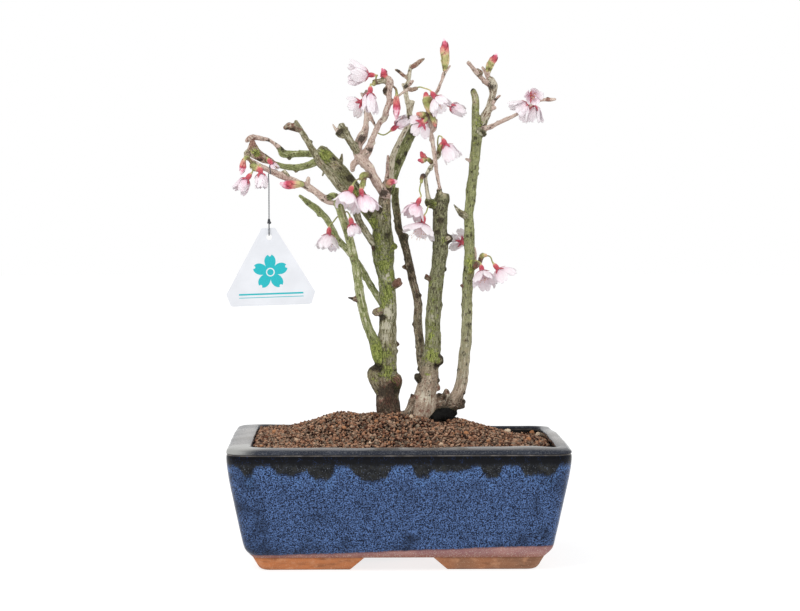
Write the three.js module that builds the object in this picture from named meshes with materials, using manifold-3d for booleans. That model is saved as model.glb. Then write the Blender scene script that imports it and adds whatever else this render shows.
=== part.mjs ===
// Cherry blossom bonsai in a glazed rectangular pot with rounded corners.
// Millimetres, +Z up, +Y away from the front, origin under the middle of the pot on the ground.

import * as THREE from 'three';
import { mergeVertices } from 'three/addons/utils/BufferGeometryUtils.js';
import Module from 'manifold-3d';

const wasm = await Module();
wasm.setup();

// ---------------------------------------------------------------- driving dimensions

const GAP = 0.3; // clearance kept between pieces that touch
const POT_HALF_LENGTH = 152;
const POT_HALF_DEPTH = 115;
const POT_CORNER = 18;
const FOOT_HEIGHT = 12;
const FLOOR_TOP = 22;
const RIM_TOP = 112.4;
const CORNER_STEPS = 4;

// Outside of the pot, from the underside up over the lip: [inset from the widest line, height].
const POT_OUTSIDE = [
  [22.4, 12],
  [20, 14.5],
  [15.9, 19.5],
  [13.2, 29.3],
  [9.5, 47.6],
  [5.9, 65.6],
  [2.2, 83.6],
  [0.4, 96.6],
  [0, 107.4],
  [3, 110.5],
  [9, 111.9],
  [17, RIM_TOP],
];

// Inside of the pot, from the floor up through the mouth. The mouth sits a little to the right, so
// the left wall is the thicker one.
const MOUTH_SHIFT = 4.6;
const POT_INSIDE = [
  [29, FLOOR_TOP],
  [25, 30],
  [19, 65],
  [17.5, 104],
  [17, 118],
];

const FOOT_RING_WIDTH = 13;
const FOOT_GAP_TOP = 29;
const FOOT_GAP_BOTTOM = 44;
const SIDE_GAP_TOP = 18;
const SIDE_GAP_BOTTOM = 30;

const DRAIN_X = 72;
const DRAIN_RADIUS = 11;
const SCREEN_SIZE = 34;
const SCREEN_THICKNESS = 1;
const SCREEN_PITCH = 11;
const SCREEN_HOLE = 8;
const CLIP_WIRE = 0.8;

const SOIL_EDGE = 105.4;
const SOIL_MOUND = 26;

const TAG_THICKNESS = 0.8;
const THREAD_RADIUS = 0.5;

// The plant is laid out on an upright sheet through the middle of the pot, ruled in squares of
// SQUARE millimetres. Its zero line stands AXIS squares left of the pot's middle, and its zero
// level is LEVEL up. A point behind or before the sheet lies on the line from EYE through its mark.
const SQUARE = 0.92;
const AXIS = 3.4;
const LEVEL = 142.8;
const EYE = new THREE.Vector3(-47, -2165, 342.4);

// ---------------------------------------------------------------- colours

const COLOURS = {
  glaze: 0x3a588c,
  clay: 0xa5603a,
  earth: 0x5a3a2a,
  bark: 0x8a9468,
  brass: 0x9a8a60,
  mesh: 0x30332f,
  petal: 0xf3dfec,
  calyx: 0xc0405f,
  bud: 0xb85a6c,
  tag: 0xf4f5f3,
  thread: 0x24262a,
};

function material(colour, roughness, metalness = 0) {
  return new THREE.MeshStandardMaterial({ color: colour, roughness, metalness });
}

// ---------------------------------------------------------------- solids

function toSolid(geometry) {
  const plain = geometry.clone();
  plain.deleteAttribute('normal');
  plain.deleteAttribute('uv');
  const merged = mergeVertices(plain, 1e-5);
  return new wasm.Manifold(new wasm.Mesh({
    numProp: 3,
    vertProperties: new Float32Array(merged.attributes.position.array),
    triVerts: new Uint32Array(merged.index.array),
  }));
}

function toGeometry(solid) {
  const mesh = solid.getMesh();
  const geometry = new THREE.BufferGeometry();
  geometry.setAttribute('position', new THREE.BufferAttribute(mesh.vertProperties, 3));
  geometry.setIndex(new THREE.BufferAttribute(mesh.triVerts, 1));
  geometry.computeVertexNormals();
  return geometry;
}

function join(solids) {
  return solids.reduce((whole, solid) => whole.add(solid));
}

// A closed cylinder of rows x sides whose points are moved one by one by place().
function sweep(sides, rows, place) {
  const geometry = new THREE.CylinderGeometry(1, 1, rows, sides, rows);
  const position = geometry.attributes.position;
  const vertex = new THREE.Vector3();
  for (let i = 0; i < position.count; i += 1) {
    vertex.fromBufferAttribute(position, i);
    const row = Math.round(vertex.y + rows / 2);
    const side = Math.round((Math.atan2(vertex.x, vertex.z) / Math.PI / 2 + 1) * sides) % sides;
    const reach = Math.hypot(vertex.x, vertex.z) > 0.5 ? 1 : 0;
    const moved = place(row, side, reach);
    position.setXYZ(i, moved.x, moved.y, moved.z);
  }
  return toSolid(geometry);
}

// Points of a rounded rectangle, each corner in cornerSteps and each side in spans.
function rectangle(halfX, halfY, corner, cornerSteps, spans) {
  const points = [];
  const centres = [[1, 1], [-1, 1], [-1, -1], [1, -1]];
  const onArc = (quarter, step) => {
    const [signX, signY] = centres[quarter % 4];
    const angle = (quarter + step / cornerSteps) * Math.PI / 2;
    return new THREE.Vector2(
      signX * (halfX - corner) + corner * Math.cos(angle),
      signY * (halfY - corner) + corner * Math.sin(angle),
    );
  };
  for (let quarter = 0; quarter < 4; quarter += 1) {
    for (let step = 0; step <= cornerSteps; step += 1) {
      points.push(onArc(quarter, step));
    }
    for (let span = 1; span < spans; span += 1) {
      points.push(onArc(quarter, cornerSteps).lerp(onArc(quarter + 1, 0), span / spans));
    }
  }
  return points;
}

// A stack of rounded rectangles given as [inset, height], joined into one solid.
function stack(levels, shrink = 0) {
  const rings = levels.map(([inset]) => {
    const size = inset + shrink;
    const corner = POT_CORNER - size * 0.35;
    return rectangle(POT_HALF_LENGTH - size, POT_HALF_DEPTH - size, corner, CORNER_STEPS, 1);
  });
  return sweep(rings[0].length, levels.length - 1, (row, side, reach) => {
    const point = rings[row][side];
    return new THREE.Vector3(point.x * reach, point.y * reach, levels[row][1]);
  });
}

function block(sizeX, sizeY, sizeZ, x, y, z) {
  return toSolid(new THREE.BoxGeometry(sizeX, sizeY, sizeZ).translate(x, y, z));
}

// ---------------------------------------------------------------- stems

// Where the mark [u, v, depth] of the layout lies: u and v in squares, depth in mm.
function gridPoint([u, v, depth]) {
  const mark = new THREE.Vector3((u + AXIS) * SQUARE, 0, v * SQUARE + LEVEL);
  return mark.addScaledVector(mark.clone().sub(EYE), -depth / EYE.y);
}

// One stem through stations [u, v, depth, radius] or [point, radius].
function stem(stations, sides = 5, between = 1, grow = 0) {
  const points = stations.map((station) => (
    station[0] instanceof THREE.Vector3 ? station[0] : gridPoint(station)
  ));
  const radii = stations.map((station) => station.at(-1));
  const curve = new THREE.CatmullRomCurve3(points, false, 'centripetal');
  const rows = (stations.length - 1) * between;
  const rings = [];
  let across = new THREE.Vector3(0.31, 0.94, 0.17);
  for (let row = 0; row <= rows; row += 1) {
    const t = row / rows;
    const along = curve.getTangent(t);
    across = across.clone().addScaledVector(along, -across.dot(along)).normalize();
    const before = Math.min(Math.floor(t * (stations.length - 1)), stations.length - 2);
    const part = t * (stations.length - 1) - before;
    const radius = THREE.MathUtils.lerp(radii[before], radii[before + 1], part);
    rings.push({
      centre: curve.getPoint(t),
      across,
      over: new THREE.Vector3().crossVectors(along, across),
      radius: radius + grow,
      along,
    });
  }
  rings[0].centre.addScaledVector(rings[0].along, -grow);
  rings[rows].centre.addScaledVector(rings[rows].along, grow);
  return sweep(sides, rows, (row, side, reach) => {
    const ring = rings[row];
    const angle = side / sides * Math.PI * 2;
    return ring.centre.clone()
      .addScaledVector(ring.across, Math.cos(angle) * ring.radius * reach)
      .addScaledVector(ring.over, Math.sin(angle) * ring.radius * reach);
  });
}

function stems(list, grow = 0) {
  return join(list.map(({ path, sides, between }) => stem(path, sides, between, grow)));
}

// ---------------------------------------------------------------- pot

const footRing = stack([[30.4, 0], [26.3, 5], [22.4, FOOT_HEIGHT - GAP]])
  .subtract(stack([[31 + FOOT_RING_WIDTH, -1], [24.5 + FOOT_RING_WIDTH, FOOT_HEIGHT + 1]]));

// A trapezoid slot through the foot ring, wider at the ground.
function footSlot(halfTop, halfBottom, length) {
  const outline = new THREE.Shape([
    new THREE.Vector2(-halfBottom - 4, -1),
    new THREE.Vector2(halfBottom + 4, -1),
    new THREE.Vector2(halfTop, FOOT_HEIGHT),
    new THREE.Vector2(-halfTop, FOOT_HEIGHT),
  ]);
  const slot = new THREE.ExtrudeGeometry(outline, { depth: length, bevelEnabled: false });
  return slot.translate(0, 0, -length / 2).rotateX(Math.PI / 2);
}

const frontSlot = toSolid(footSlot(FOOT_GAP_TOP, FOOT_GAP_BOTTOM, 260));
const sideSlot = toSolid(footSlot(SIDE_GAP_TOP, SIDE_GAP_BOTTOM, 320).rotateZ(Math.PI / 2));

function drainHole(x) {
  const hole = new THREE.CylinderGeometry(DRAIN_RADIUS, DRAIN_RADIUS, 20, 16);
  return toSolid(hole.rotateX(Math.PI / 2).translate(x, 0, FLOOR_TOP - 5));
}

const potSolid = stack(POT_OUTSIDE)
  .subtract(stack(POT_INSIDE).translate([MOUTH_SHIFT, 0, 0]))
  .subtract(drainHole(-DRAIN_X))
  .subtract(drainHole(DRAIN_X));

// The corner foot on the given side of the pot's middle: a piece of the ring between two slots.
function footSolid(signX, signY) {
  const corner = block(200, 200, 40, 100 * signX, 100 * signY, 0);
  return footRing.subtract(frontSlot).subtract(sideSlot).intersect(corner);
}

// ---------------------------------------------------------------- the plant's stems

// Left clump: thick trunk, the stem that leaves its foot, and all that grows on them.
const LEFT_STEMS = [
  { // thick trunk
    sides: 9,
    path: [
      [-12, -34, 0, 9.5], [-12, -11, 0, 10.6], [-12.3, 2, 0, 9.8], [-12.6, 14, 0, 10.3],
      [-12.5, 30, 0, 9.2], [-12.5, 55, 0, 8.7], [-12.5, 80, 0, 8.2], [-12.2, 99, 0, 7.6],
      [-13.5, 120, 0, 7.9], [-16, 138, 0, 8.7], [-17, 154, 0, 10.6], [-18, 173, 0, 8.3],
      [-15.5, 194, 0, 6.0], [-14.6, 208, 0, 5.2], [-13, 217, 1, 4.6],
    ],
  },
  { path: [[-16, 27, 1, 6.5], [-26, 28, -1, 6.2], [-25, 20, -1.5, 6], [-19, 9, -1, 5.4]], sides: 6 },
  { path: [[-11, 20, -2, 6.5], [-4.6, 20.5, -4, 6], [-5.6, 11, -3, 5.4], [-7, 2, -2, 5]], sides: 6 },
  { path: [[-16, 90, 0, 4.8], [-22, 88.6, -6, 4.2], [-24.6, 88, -10, 3.6]], sides: 6 }, // sawn stub
  { path: [[-11, 115, -2, 4.6], [-3.4, 117, -3, 4], [-1, 121, -3, 2.2]] },
  { path: [[-20, 152, -2, 4], [-26.5, 153, -4, 2.6]] },
  { path: [[-12, 58, 2, 4], [-2.2, 56, 0, 1.8]] },
  { // second stem, leaving the foot to the left
    sides: 7,
    path: [
      [-16, 33, 0, 6], [-22, 46, -3, 6], [-26, 60, -6, 4.6], [-31, 70, -9, 4.3], [-39, 100, -14, 4.1],
      [-42, 120, -17, 3.9], [-45, 138, -20, 3.8], [-49.5, 156, -22, 3.7], [-56, 180, -25, 3.7],
      [-62, 196, -27, 4], [-66.5, 203, -27, 4.8], [-71, 201.5, -27, 4],
    ],
  },
  { path: [[-64, 199, -27, 4], [-60.5, 205, -26, 3.6]] },
  { path: [[-40, 100.5, -14, 2.6], [-45.5, 101.5, -16, 2.2], [-51.5, 103, -18, 0.8]] },
  { // tan shoot that carries the label
    path: [
      [-66, 199, -27, 3.6], [-72, 199.5, -27.4, 3.5], [-88, 211, -30, 3.2], [-103.5, 218.6, -33, 3],
      [-115, 223, -35, 3.2], [-126.4, 228, -37, 2.6], [-138, 233.4, -39, 2.3],
      [-149.4, 240, -41, 1.9], [-154, 241.4, -41.6, 1.4],
    ],
  },
  { path: [[-92, 213, -31, 1.8], [-91.6, 220, -30, 2.3], [-91.3, 223, -29, 1.4]] },
  { path: [[-112, 224, -35, 2.4], [-116, 230, -34, 1.7]] },
  { // mossy shoot behind the second stem
    path: [
      [-16, 94, 2, 3.6], [-29, 114.5, 8, 3.2], [-40, 134, 14, 3.1], [-51, 148.5, 19, 3.1],
      [-62, 161, 23, 3], [-73, 181, 28, 2.9], [-82, 190.6, 31, 3.3], [-92, 198, 34, 2.8],
      [-100, 204.6, 36, 1.6],
    ],
  },
  { // thick limb to the upper left, with a rounded sawn end
    sides: 7,
    path: [
      [-18, 166, 1, 6], [-27, 184, 2, 6.6], [-36, 199, 4, 6.8], [-46, 215, 7, 6.9],
      [-56, 228.5, 10, 7], [-66, 239.5, 13, 7.2], [-77, 248, 16, 7], [-82, 250, 17, 5.2],
    ],
  },
  { // long thin shoot across it
    path: [
      [-20, 151, 0, 3.2], [-27, 157, -4, 3.2], [-34, 168, -7, 3.2], [-41, 180, -10, 3.2],
      [-46, 194, -13, 3.3], [-53, 207, -16, 3.4], [-61, 214, -19, 3.4], [-70, 226, -22, 3.4],
      [-80.5, 238, -26, 3.3], [-86, 248, -28, 3], [-92, 258, -30, 2.8], [-99, 270, -32, 2.6],
      [-104, 278.6, -34, 1.4],
    ],
  },
  { path: [[-99, 270, -32, 2.6], [-106, 272.3, -33, 3.5], [-112, 273.6, -34, 3.7], [-116, 272, -34, 2.2]] },
  { // upper of the two shoots off the sawn end
    path: [
      [-80, 247, 17, 3.8], [-88, 246.6, 19, 3.6], [-98, 246.6, 22, 3.2], [-110, 246, 25, 3.1],
      [-117, 247, 26, 3.8], [-120, 252, 26, 2.6], [-126.5, 257.5, 27, 1.7], [-132, 260.5, 27, 1.6],
      [-138, 261.5, 27, 2.4], [-145, 262.6, 27, 2.6], [-150, 261.5, 27, 3.2], [-153, 259, 27, 1.8],
    ],
  },
  { path: [[-110, 246, 25, 2.8], [-110.4, 241.6, 25, 1.8]] },
  { // lower of the two
    path: [
      [-77, 240, 14, 4], [-84, 238.4, 13, 3.6], [-92, 235, 12, 3.3], [-100, 233, 11, 3.2],
      [-115, 234, 9, 2.9], [-125, 236.5, 8, 2.3], [-131, 240, 7, 3.6], [-138, 243, 6, 4.8],
      [-145, 248, 6, 5.6], [-147, 254, 6, 4.6], [-147, 258, 6, 2.6],
    ],
  },
  { path: [[-103, 233, 11, 2.6], [-104, 228.6, 11, 1.6]] },
  { path: [[-143, 246, 6, 4], [-152, 247, 6, 3.4], [-154, 242.6, 6, 1.8]] },
  { // forked tan shoot at the top of the trunk
    sides: 7,
    path: [
      [-13, 203, -1, 4], [-17, 208, -4, 4.5], [-25.4, 222, -7, 4.4], [-32, 233.6, -8, 4.4],
      [-39, 241.4, -8, 4.6], [-42.6, 247, -8, 4], [-42, 255, -8, 3.9], [-38, 263, -8, 5.2],
      [-35, 269, -8, 3.4], [-34, 276, -8, 2.5], [-33.5, 290, -8, 2.3], [-34, 301, -8, 2.3],
      [-33.6, 308.6, -8, 1.7],
    ],
  },
  { path: [[-34.5, 298, -8, 1.8], [-38.4, 306.6, -8, 1.2]] },
  { path: [[-41, 241, -8, 3.4], [-46.6, 236, -8.5, 2.9], [-47.4, 229.6, -9, 1.9]] },
  { path: [[-42, 246, -8, 3.4], [-48, 256, -14, 3.5], [-53.5, 265.6, -19, 3.7], [-59, 275.6, -24, 3.1]] },
  { path: [[-56, 270, -21, 3.2], [-60.6, 266, -23, 3.2], [-57, 262.6, -21, 1.8]] },
  { path: [[-60, 267, -23, 1.9], [-64, 270.6, -24, 1.4], [-67, 275.4, -25, 0.7]] },
  { path: [[-31, 287.6, -8, 1.5], [-28.6, 281.6, -10, 2.2], [-24.6, 273.4, -11, 0.8]] },
  { // shoot with the topmost cluster on this side
    path: [
      [-38, 240, -7, 3.6], [-32.4, 248.6, -8, 4.6], [-28.8, 258, -11, 2.7], [-24.5, 268.4, -14, 2.5],
      [-19.5, 278, -16, 2.4], [-15.6, 281.6, -17, 3.2], [-13.6, 289.4, -18, 2.6], [-11, 299, -19, 2.4],
      [-11.4, 308.6, -20, 2.6], [-10.6, 316, -20, 3.9], [-12, 321.4, -20, 2.8],
    ],
  },
  { path: [[-11, 318, -20, 2.8], [-17, 318.6, -20, 2.8], [-23, 317.4, -20, 2.2]] },
  { path: [[-13, 312, -21, 2], [-16, 309, -22, 1.9], [-15, 305, -22, 0.8]] },
  { // pale shoot, forking near its top
    path: [
      [-13, 212, 3, 4.2], [-10.6, 224, 5, 4], [-9, 238, 8, 3.2], [-5, 250, 11, 2.6], [2, 264.5, 14, 2.4],
      [8, 276, 17, 2.4], [9, 289, 19, 2.6], [7, 299, 20, 2.2], [5.4, 308, 21, 2.3], [6, 312.6, 21, 2.5],
      [8.2, 319, 22, 1.9], [9.5, 328.6, 23, 1.9], [10.8, 334.4, 23, 1.5],
    ],
  },
  { path: [[9, 285, 19, 2.2], [12.4, 299.6, 21, 2.3]] },
  { path: [[10, 332.6, 23, 1.4], [13.4, 333.6, 23, 2.3], [20, 338.6, 22, 2.3], [24, 341, 21, 1.1]] },
  { path: [[8, 321, 22, 1.4], [3, 324.6, 23, 1.9], [-2, 328.8, 24, 1.6], [-5, 330, 24, 0.7]] },
  { path: [[7, 313, 21, 1.6], [13, 319, 20, 1.4]] },
  { path: [[5.6, 310, 21, 1.8], [2.4, 315.8, 22, 1.5]] },
  { path: [[6, 310, 21, 1.9], [11, 309.4, 19, 2.2], [17, 311.4, 17, 1.6]] },
  { // dark shoot behind it
    sides: 7,
    path: [
      [-11, 208, 5, 4.6], [-7.6, 223, 14, 4.7], [3, 250, 28, 4.7], [12, 270, 38, 4.5], [19.5, 283, 44, 3.4],
    ],
  },
  { path: [[-13.6, 214, -3, 2.2], [-12.8, 228, -5, 1.9], [-12.2, 244.6, -6, 1.2]] },
];

// Right clump: mossy trunk, the brown shoot on its left and the slim trunk on its right.
const RIGHT_STEMS = [
  { // mossy trunk
    sides: 9,
    path: [
      [20, -34, -2, 10.4], [20.6, -15, -2, 11.4], [23, -5, -2, 12.4], [25, 5, -2, 10.4], [28.6, 18, -2, 8.8],
      [29.6, 32, -2, 8.3],
      [32.4, 55, -2, 7.4], [33, 80, -2, 7.3], [34.4, 102, -2, 6.7], [37, 125, -2, 6.5], [39.2, 141, -2, 6.9],
      [40.2, 154, -2, 7.2], [40, 176, -2, 6.5], [40.4, 192, -2, 6.8], [41.8, 203, -2, 6.9],
      [42.4, 207.4, -2, 6.2],
    ],
  },
  { path: [[20, -4, -3, 8], [14, 0, -6, 4.4], [11, -8, -8, 4.6], [5, -20, -9, 4.4]], sides: 6 }, // root
  { path: [[28, 20, -3, 5], [18, 21.6, -4, 3.2], [16.6, 25.6, -4, 1.8]] },
  { path: [[33, 40, -3, 5], [38.6, 39, -6, 4.6], [40.4, 43, -6, 2.6]] },
  { path: [[35, 196, -3, 5], [29.6, 197, -4, 4.4], [27, 199, -4, 3]] },
  { path: [[42, 160, -3, 5.2], [48.6, 162, -3.4, 4.4], [51.4, 164, -3.4, 2.4]] },
  { path: [[35, 122, -2, 3.6], [28.4, 122, -4, 2.4], [26, 125.4, -4, 1.4]] },
  { // brown shoot
    path: [
      [26, 24, 1, 5], [21.6, 40, 5, 4.6], [19.6, 56, 9, 4.2], [18, 76, 13, 4.1], [17.4, 100, 16, 3.8],
      [13, 119, 18, 3.7], [10.4, 131, 19, 3.7], [6, 150, 21, 3.7], [2.6, 163, 22, 3.8], [-1.4, 172, 23, 3.5],
      [-3, 186, 24, 3.5], [-5, 201, 25, 3.5], [-4.6, 213, 26, 3.2],
    ],
    sides: 7,
  },
  { path: [[3.6, 158, 22, 3.2], [6, 165, 21, 2.7]] },
  { path: [[16, 103, 16, 2.8], [20.6, 105.4, 15, 1.5]] },
  { path: [[7, 133, 20, 2.6], [3, 133.6, 18, 1.4]] },
  { // thin shoot off the sawn top, up to the topmost bud
    path: [
      [40.4, 203, -3, 2.4], [40, 210, -5, 1.7], [37, 224, -7, 1.7], [34.4, 243, -9, 2], [32, 260, -9, 2.1],
      [29.6, 273, -9, 2.1], [28.6, 284, -9, 2.3], [28.4, 294, -9, 2.4], [32, 302, -9, 1.8],
      [37, 308.6, -10, 1.5], [41, 318, -12, 1.5], [44, 327, -14, 1.9], [44.6, 329, -14, 1.4],
    ],
  },
  { path: [[44, 326, -14, 1.5], [50, 334, -14, 0.9]] },
  { path: [[31, 269, -9, 2], [33.6, 271, -10, 2.6], [35, 280, -10, 1.8]] },
  { // crooked shoot off the left knob
    path: [
      [30, 197, -4, 3], [28, 203, -4, 2.2], [26.2, 214, -3.4, 1.8], [25.6, 224, -3, 1.9],
      [28, 229, -2.6, 1.9], [31.8, 235, -2, 2], [34.6, 241, -1, 2], [38.4, 246, 0, 2.9], [38.6, 249.4, 0, 2],
    ],
  },
  { // foot of the slim trunk
    sides: 7,
    path: [[28, -6, 0, 8], [44, -3, 4, 7.4], [53, -3.6, 5, 7.2], [59.6, -4.6, 6, 4.6], [63, -6.6, 6.6, 2.4]],
  },
  { path: [[48, -7, 6, 7], [46, -20, 7, 8.4], [46, -34, 8, 7]], sides: 6 },
  { // dead root in the hollow below it
    sides: 6,
    path: [[31, -19, -6, 5], [38, -14.6, -1, 7], [48, -12.6, 3, 7], [57, -13.4, 5, 4.4]],
  },
  { path: [[44, -2, 1, 5], [46, 6, -2, 3.6], [46.4, 10, -2, 1.8]] },
  { // slim trunk
    sides: 7,
    path: [
      [50, -6, 5, 6.6], [56, 2, 4, 6.2], [60.4, 15, 4, 5.6], [63, 30, 4, 5.5], [65.6, 55, 4, 5.1],
      [67, 80, 4, 5], [67, 100, 4, 4.9], [67.6, 120, 4, 5.2], [69.6, 135, 4, 5.5], [69.3, 150, 4, 5],
      [69.2, 170, 4, 4.8], [68.6, 185, 4, 4.3], [70, 200, 4, 4.6], [72, 220, 4, 4.6], [75.5, 250, 4, 4.8],
      [77, 269, 4, 5.2], [75.2, 284, 4, 3.7], [74.8, 302, 4, 3.4], [72.6, 309, 4, 2.6],
    ],
  },
  { // its forked top
    path: [
      [78, 266, 4, 4.6], [83.6, 281, 7, 4.6], [88, 290, 10, 3.4], [91, 300, 13, 3.2], [92.4, 307, 15, 3.4],
      [92.6, 315, 16, 4.9], [91, 321, 16, 2.6],
    ],
    sides: 7,
  },
  { path: [[91, 314, 16, 2.8], [86, 317, 13, 2.3], [77.5, 326, 6, 2.3], [67.6, 337, -2, 1.9]] },
  { path: [[78, 325, 6.4, 2.2], [80.6, 326.4, 6, 2.2], [77, 331, 4, 0.9]] },
  { path: [[90, 317, 17, 2.4], [86.6, 325, 20, 2.1], [82, 332.6, 23, 1.5]] },
  { path: [[88, 320, 18, 2], [88, 328.6, 19, 1.7]] },
  { path: [[90, 294, 11, 2], [96, 301, 9, 1.3], [99.6, 304.4, 8, 1.4]] },
  { path: [[90, 291, 10, 2.4], [95, 292.4, 9, 1.6]] },
  { path: [[79, 269, 2, 4.4], [84, 266, 1, 2.8]] },
  { // shoot reaching right
    path: [
      [80, 271, 3, 3], [87.4, 272.3, 0, 2.2], [102, 279, -7, 1.9], [116.8, 285.8, -14, 1.8],
      [126, 291.4, -18, 1.6], [135.8, 298, -21, 1.4], [143, 300, -23, 1.5], [148.4, 300, -24, 2.1],
      [154.6, 300.4, -25, 1.1],
    ],
  },
  { path: [[138, 298.6, -22, 1.2], [139.4, 304, -22, 0.9]] },
  { path: [[67, 184, 3, 3.6], [60.6, 187.4, 1, 2.7], [57, 191.4, 0, 1.9], [53.4, 196, 0, 0.8]] },
  { path: [[66, 115, 3, 3], [61, 115, 2, 1.2]] },
  { path: [[70, 134, 3, 4], [76.6, 134.6, 2, 3.4], [80.6, 139, 1, 2.2]] },
  { path: [[74, 136, 3, 1.6], [75.6, 144, 3, 1.3], [74.8, 152.6, 3, 0.8]] },
  { path: [[71, 239, 3, 1.8], [65, 241.6, 2, 0.8]] },
];

const leftTree = stems(LEFT_STEMS);
const rightTree = stems(RIGHT_STEMS);

// The stems as seen by what rests against them, fuller by the gap.
const leftClearance = stems(LEFT_STEMS, GAP);
const rightClearance = stems(RIGHT_STEMS, GAP);

// ---------------------------------------------------------------- soil

function bump(x, y, centreX, centreY, reachX, reachY) {
  return Math.exp(-(((x - centreX) / reachX) ** 2) - (((y - centreY) / reachY) ** 2));
}

function soilHeight(x, y) {
  const mound = SOIL_MOUND * bump(x, y, 8, 0, 95, 68);
  const hollow = 9 * bump(x, y, 42, -12, 13, 12);
  return SOIL_EDGE - x * 0.02 + mound - hollow;
}

// Rings of the soil body: up the wall, then inwards over the mound.
const SOIL_RINGS = [
  { inset: 29, height: FLOOR_TOP + GAP },
  { inset: 25, height: 30 },
  { inset: 19, height: 65 },
  { inset: 17.8, height: 101.4 },
  { share: 0.985 },
  { share: 0.88 },
  { share: 0.72 },
  { share: 0.55 },
  { share: 0.38 },
  { share: 0.2 },
];

const soilOutlines = SOIL_RINGS.map(({ inset = 18.4, share = 1 }) => {
  const halfX = (POT_HALF_LENGTH - inset - 2 * GAP) * share;
  const halfY = (POT_HALF_DEPTH - inset - 2 * GAP) * share;
  return rectangle(halfX, halfY, (POT_CORNER - inset * 0.35) * share, 2, 4);
});

const soilBody = sweep(soilOutlines[0].length, SOIL_RINGS.length - 1, (row, side, reach) => {
  const point = soilOutlines[row][side].clone().multiplyScalar(reach);
  const x = point.x + MOUTH_SHIFT;
  return new THREE.Vector3(x, point.y, SOIL_RINGS[row].height ?? soilHeight(x, point.y));
});

const screenRoom = (x) => block(SCREEN_SIZE + 2, SCREEN_SIZE + 2, 8, x, 0, FLOOR_TOP);

const soilSolid = soilBody
  .subtract(screenRoom(-DRAIN_X))
  .subtract(screenRoom(DRAIN_X))
  .subtract(leftClearance)
  .subtract(rightClearance);

// ---------------------------------------------------------------- drain screens and their clips

function screenSolid() {
  let plate = block(SCREEN_SIZE, SCREEN_SIZE, SCREEN_THICKNESS, 0, 0, 0);
  for (let i = -1; i <= 1; i += 1) {
    for (let j = -1; j <= 1; j += 1) {
      const opening = block(SCREEN_HOLE, SCREEN_HOLE, 4, i * SCREEN_PITCH, j * SCREEN_PITCH, 0);
      plate = plate.subtract(opening);
    }
  }
  return plate;
}

// Staple of wire over the screen, its ends bent out under the pot.
function clipGeometry() {
  const over = FLOOR_TOP + 2 * GAP + SCREEN_THICKNESS + CLIP_WIRE;
  const under = FOOT_HEIGHT - 2 * GAP - CLIP_WIRE;
  const half = [
    [19, under],
    [9.8, under],
    [9.2, FOOT_HEIGHT + 1],
    [9.2, over - 1.6],
    [8, over],
  ];
  const route = [...half, ...half.map(([x, z]) => [-x, z]).reverse()];
  const curve = new THREE.CurvePath();
  for (let i = 1; i < route.length; i += 1) {
    const [x0, z0] = route[i - 1];
    const [x1, z1] = route[i];
    curve.add(new THREE.LineCurve3(new THREE.Vector3(x0, 0, z0), new THREE.Vector3(x1, 0, z1)));
  }
  const section = new THREE.Shape();
  section.absarc(0, 0, CLIP_WIRE, 0, Math.PI * 2);
  return new THREE.ExtrudeGeometry(section, {
    steps: 26, curveSegments: 3, bevelEnabled: false, extrudePath: curve,
  });
}

// ---------------------------------------------------------------- blossoms

const PETAL_THICKNESS = 0.9;
const PETAL_SIDES = 15;
const PETAL_ROWS = [0, 0.5, 1, 1, 0.5, 0];
const EYE_RADIUS = 1.7;

// Distance from the axis and height of a point partway along a petal that curves from lying
// nearly flat at its foot to the lean of its tip.
function petalPoint(reach, lean) {
  const point = new THREE.Vector2(EYE_RADIUS, 0);
  const steps = 12;
  for (let i = 0; i < steps; i += 1) {
    const angle = THREE.MathUtils.lerp(74, lean, Math.min(1, (i + 0.5) / steps * 2.6));
    point.x += reach / steps * Math.sin(THREE.MathUtils.degToRad(angle));
    point.y += reach / steps * Math.cos(THREE.MathUtils.degToRad(angle));
  }
  return point;
}

// Five petals as one shallow cup with notches between them; +Z looks out of the flower.
function petalCup(length, lean) {
  return sweep(PETAL_SIDES, PETAL_ROWS.length - 1, (row, side, reach) => {
    const along = PETAL_ROWS[row];
    const notch = side % 3 === 0 ? 0.34 * along : 0;
    const point = petalPoint(length * along * (1 - notch), lean);
    const inside = row > 2;
    const lift = inside ? PETAL_THICKNESS * (along < 0.2 ? 1 : 0.55) : 0;
    const pull = inside ? PETAL_THICKNESS * 0.7 * (along < 0.2 ? 0.4 : 1) : 0;
    const radius = (point.x - pull) * reach;
    const angle = side / PETAL_SIDES * Math.PI * 2;
    return new THREE.Vector3(radius * Math.cos(angle), radius * Math.sin(angle), point.y + lift);
  });
}

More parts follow.
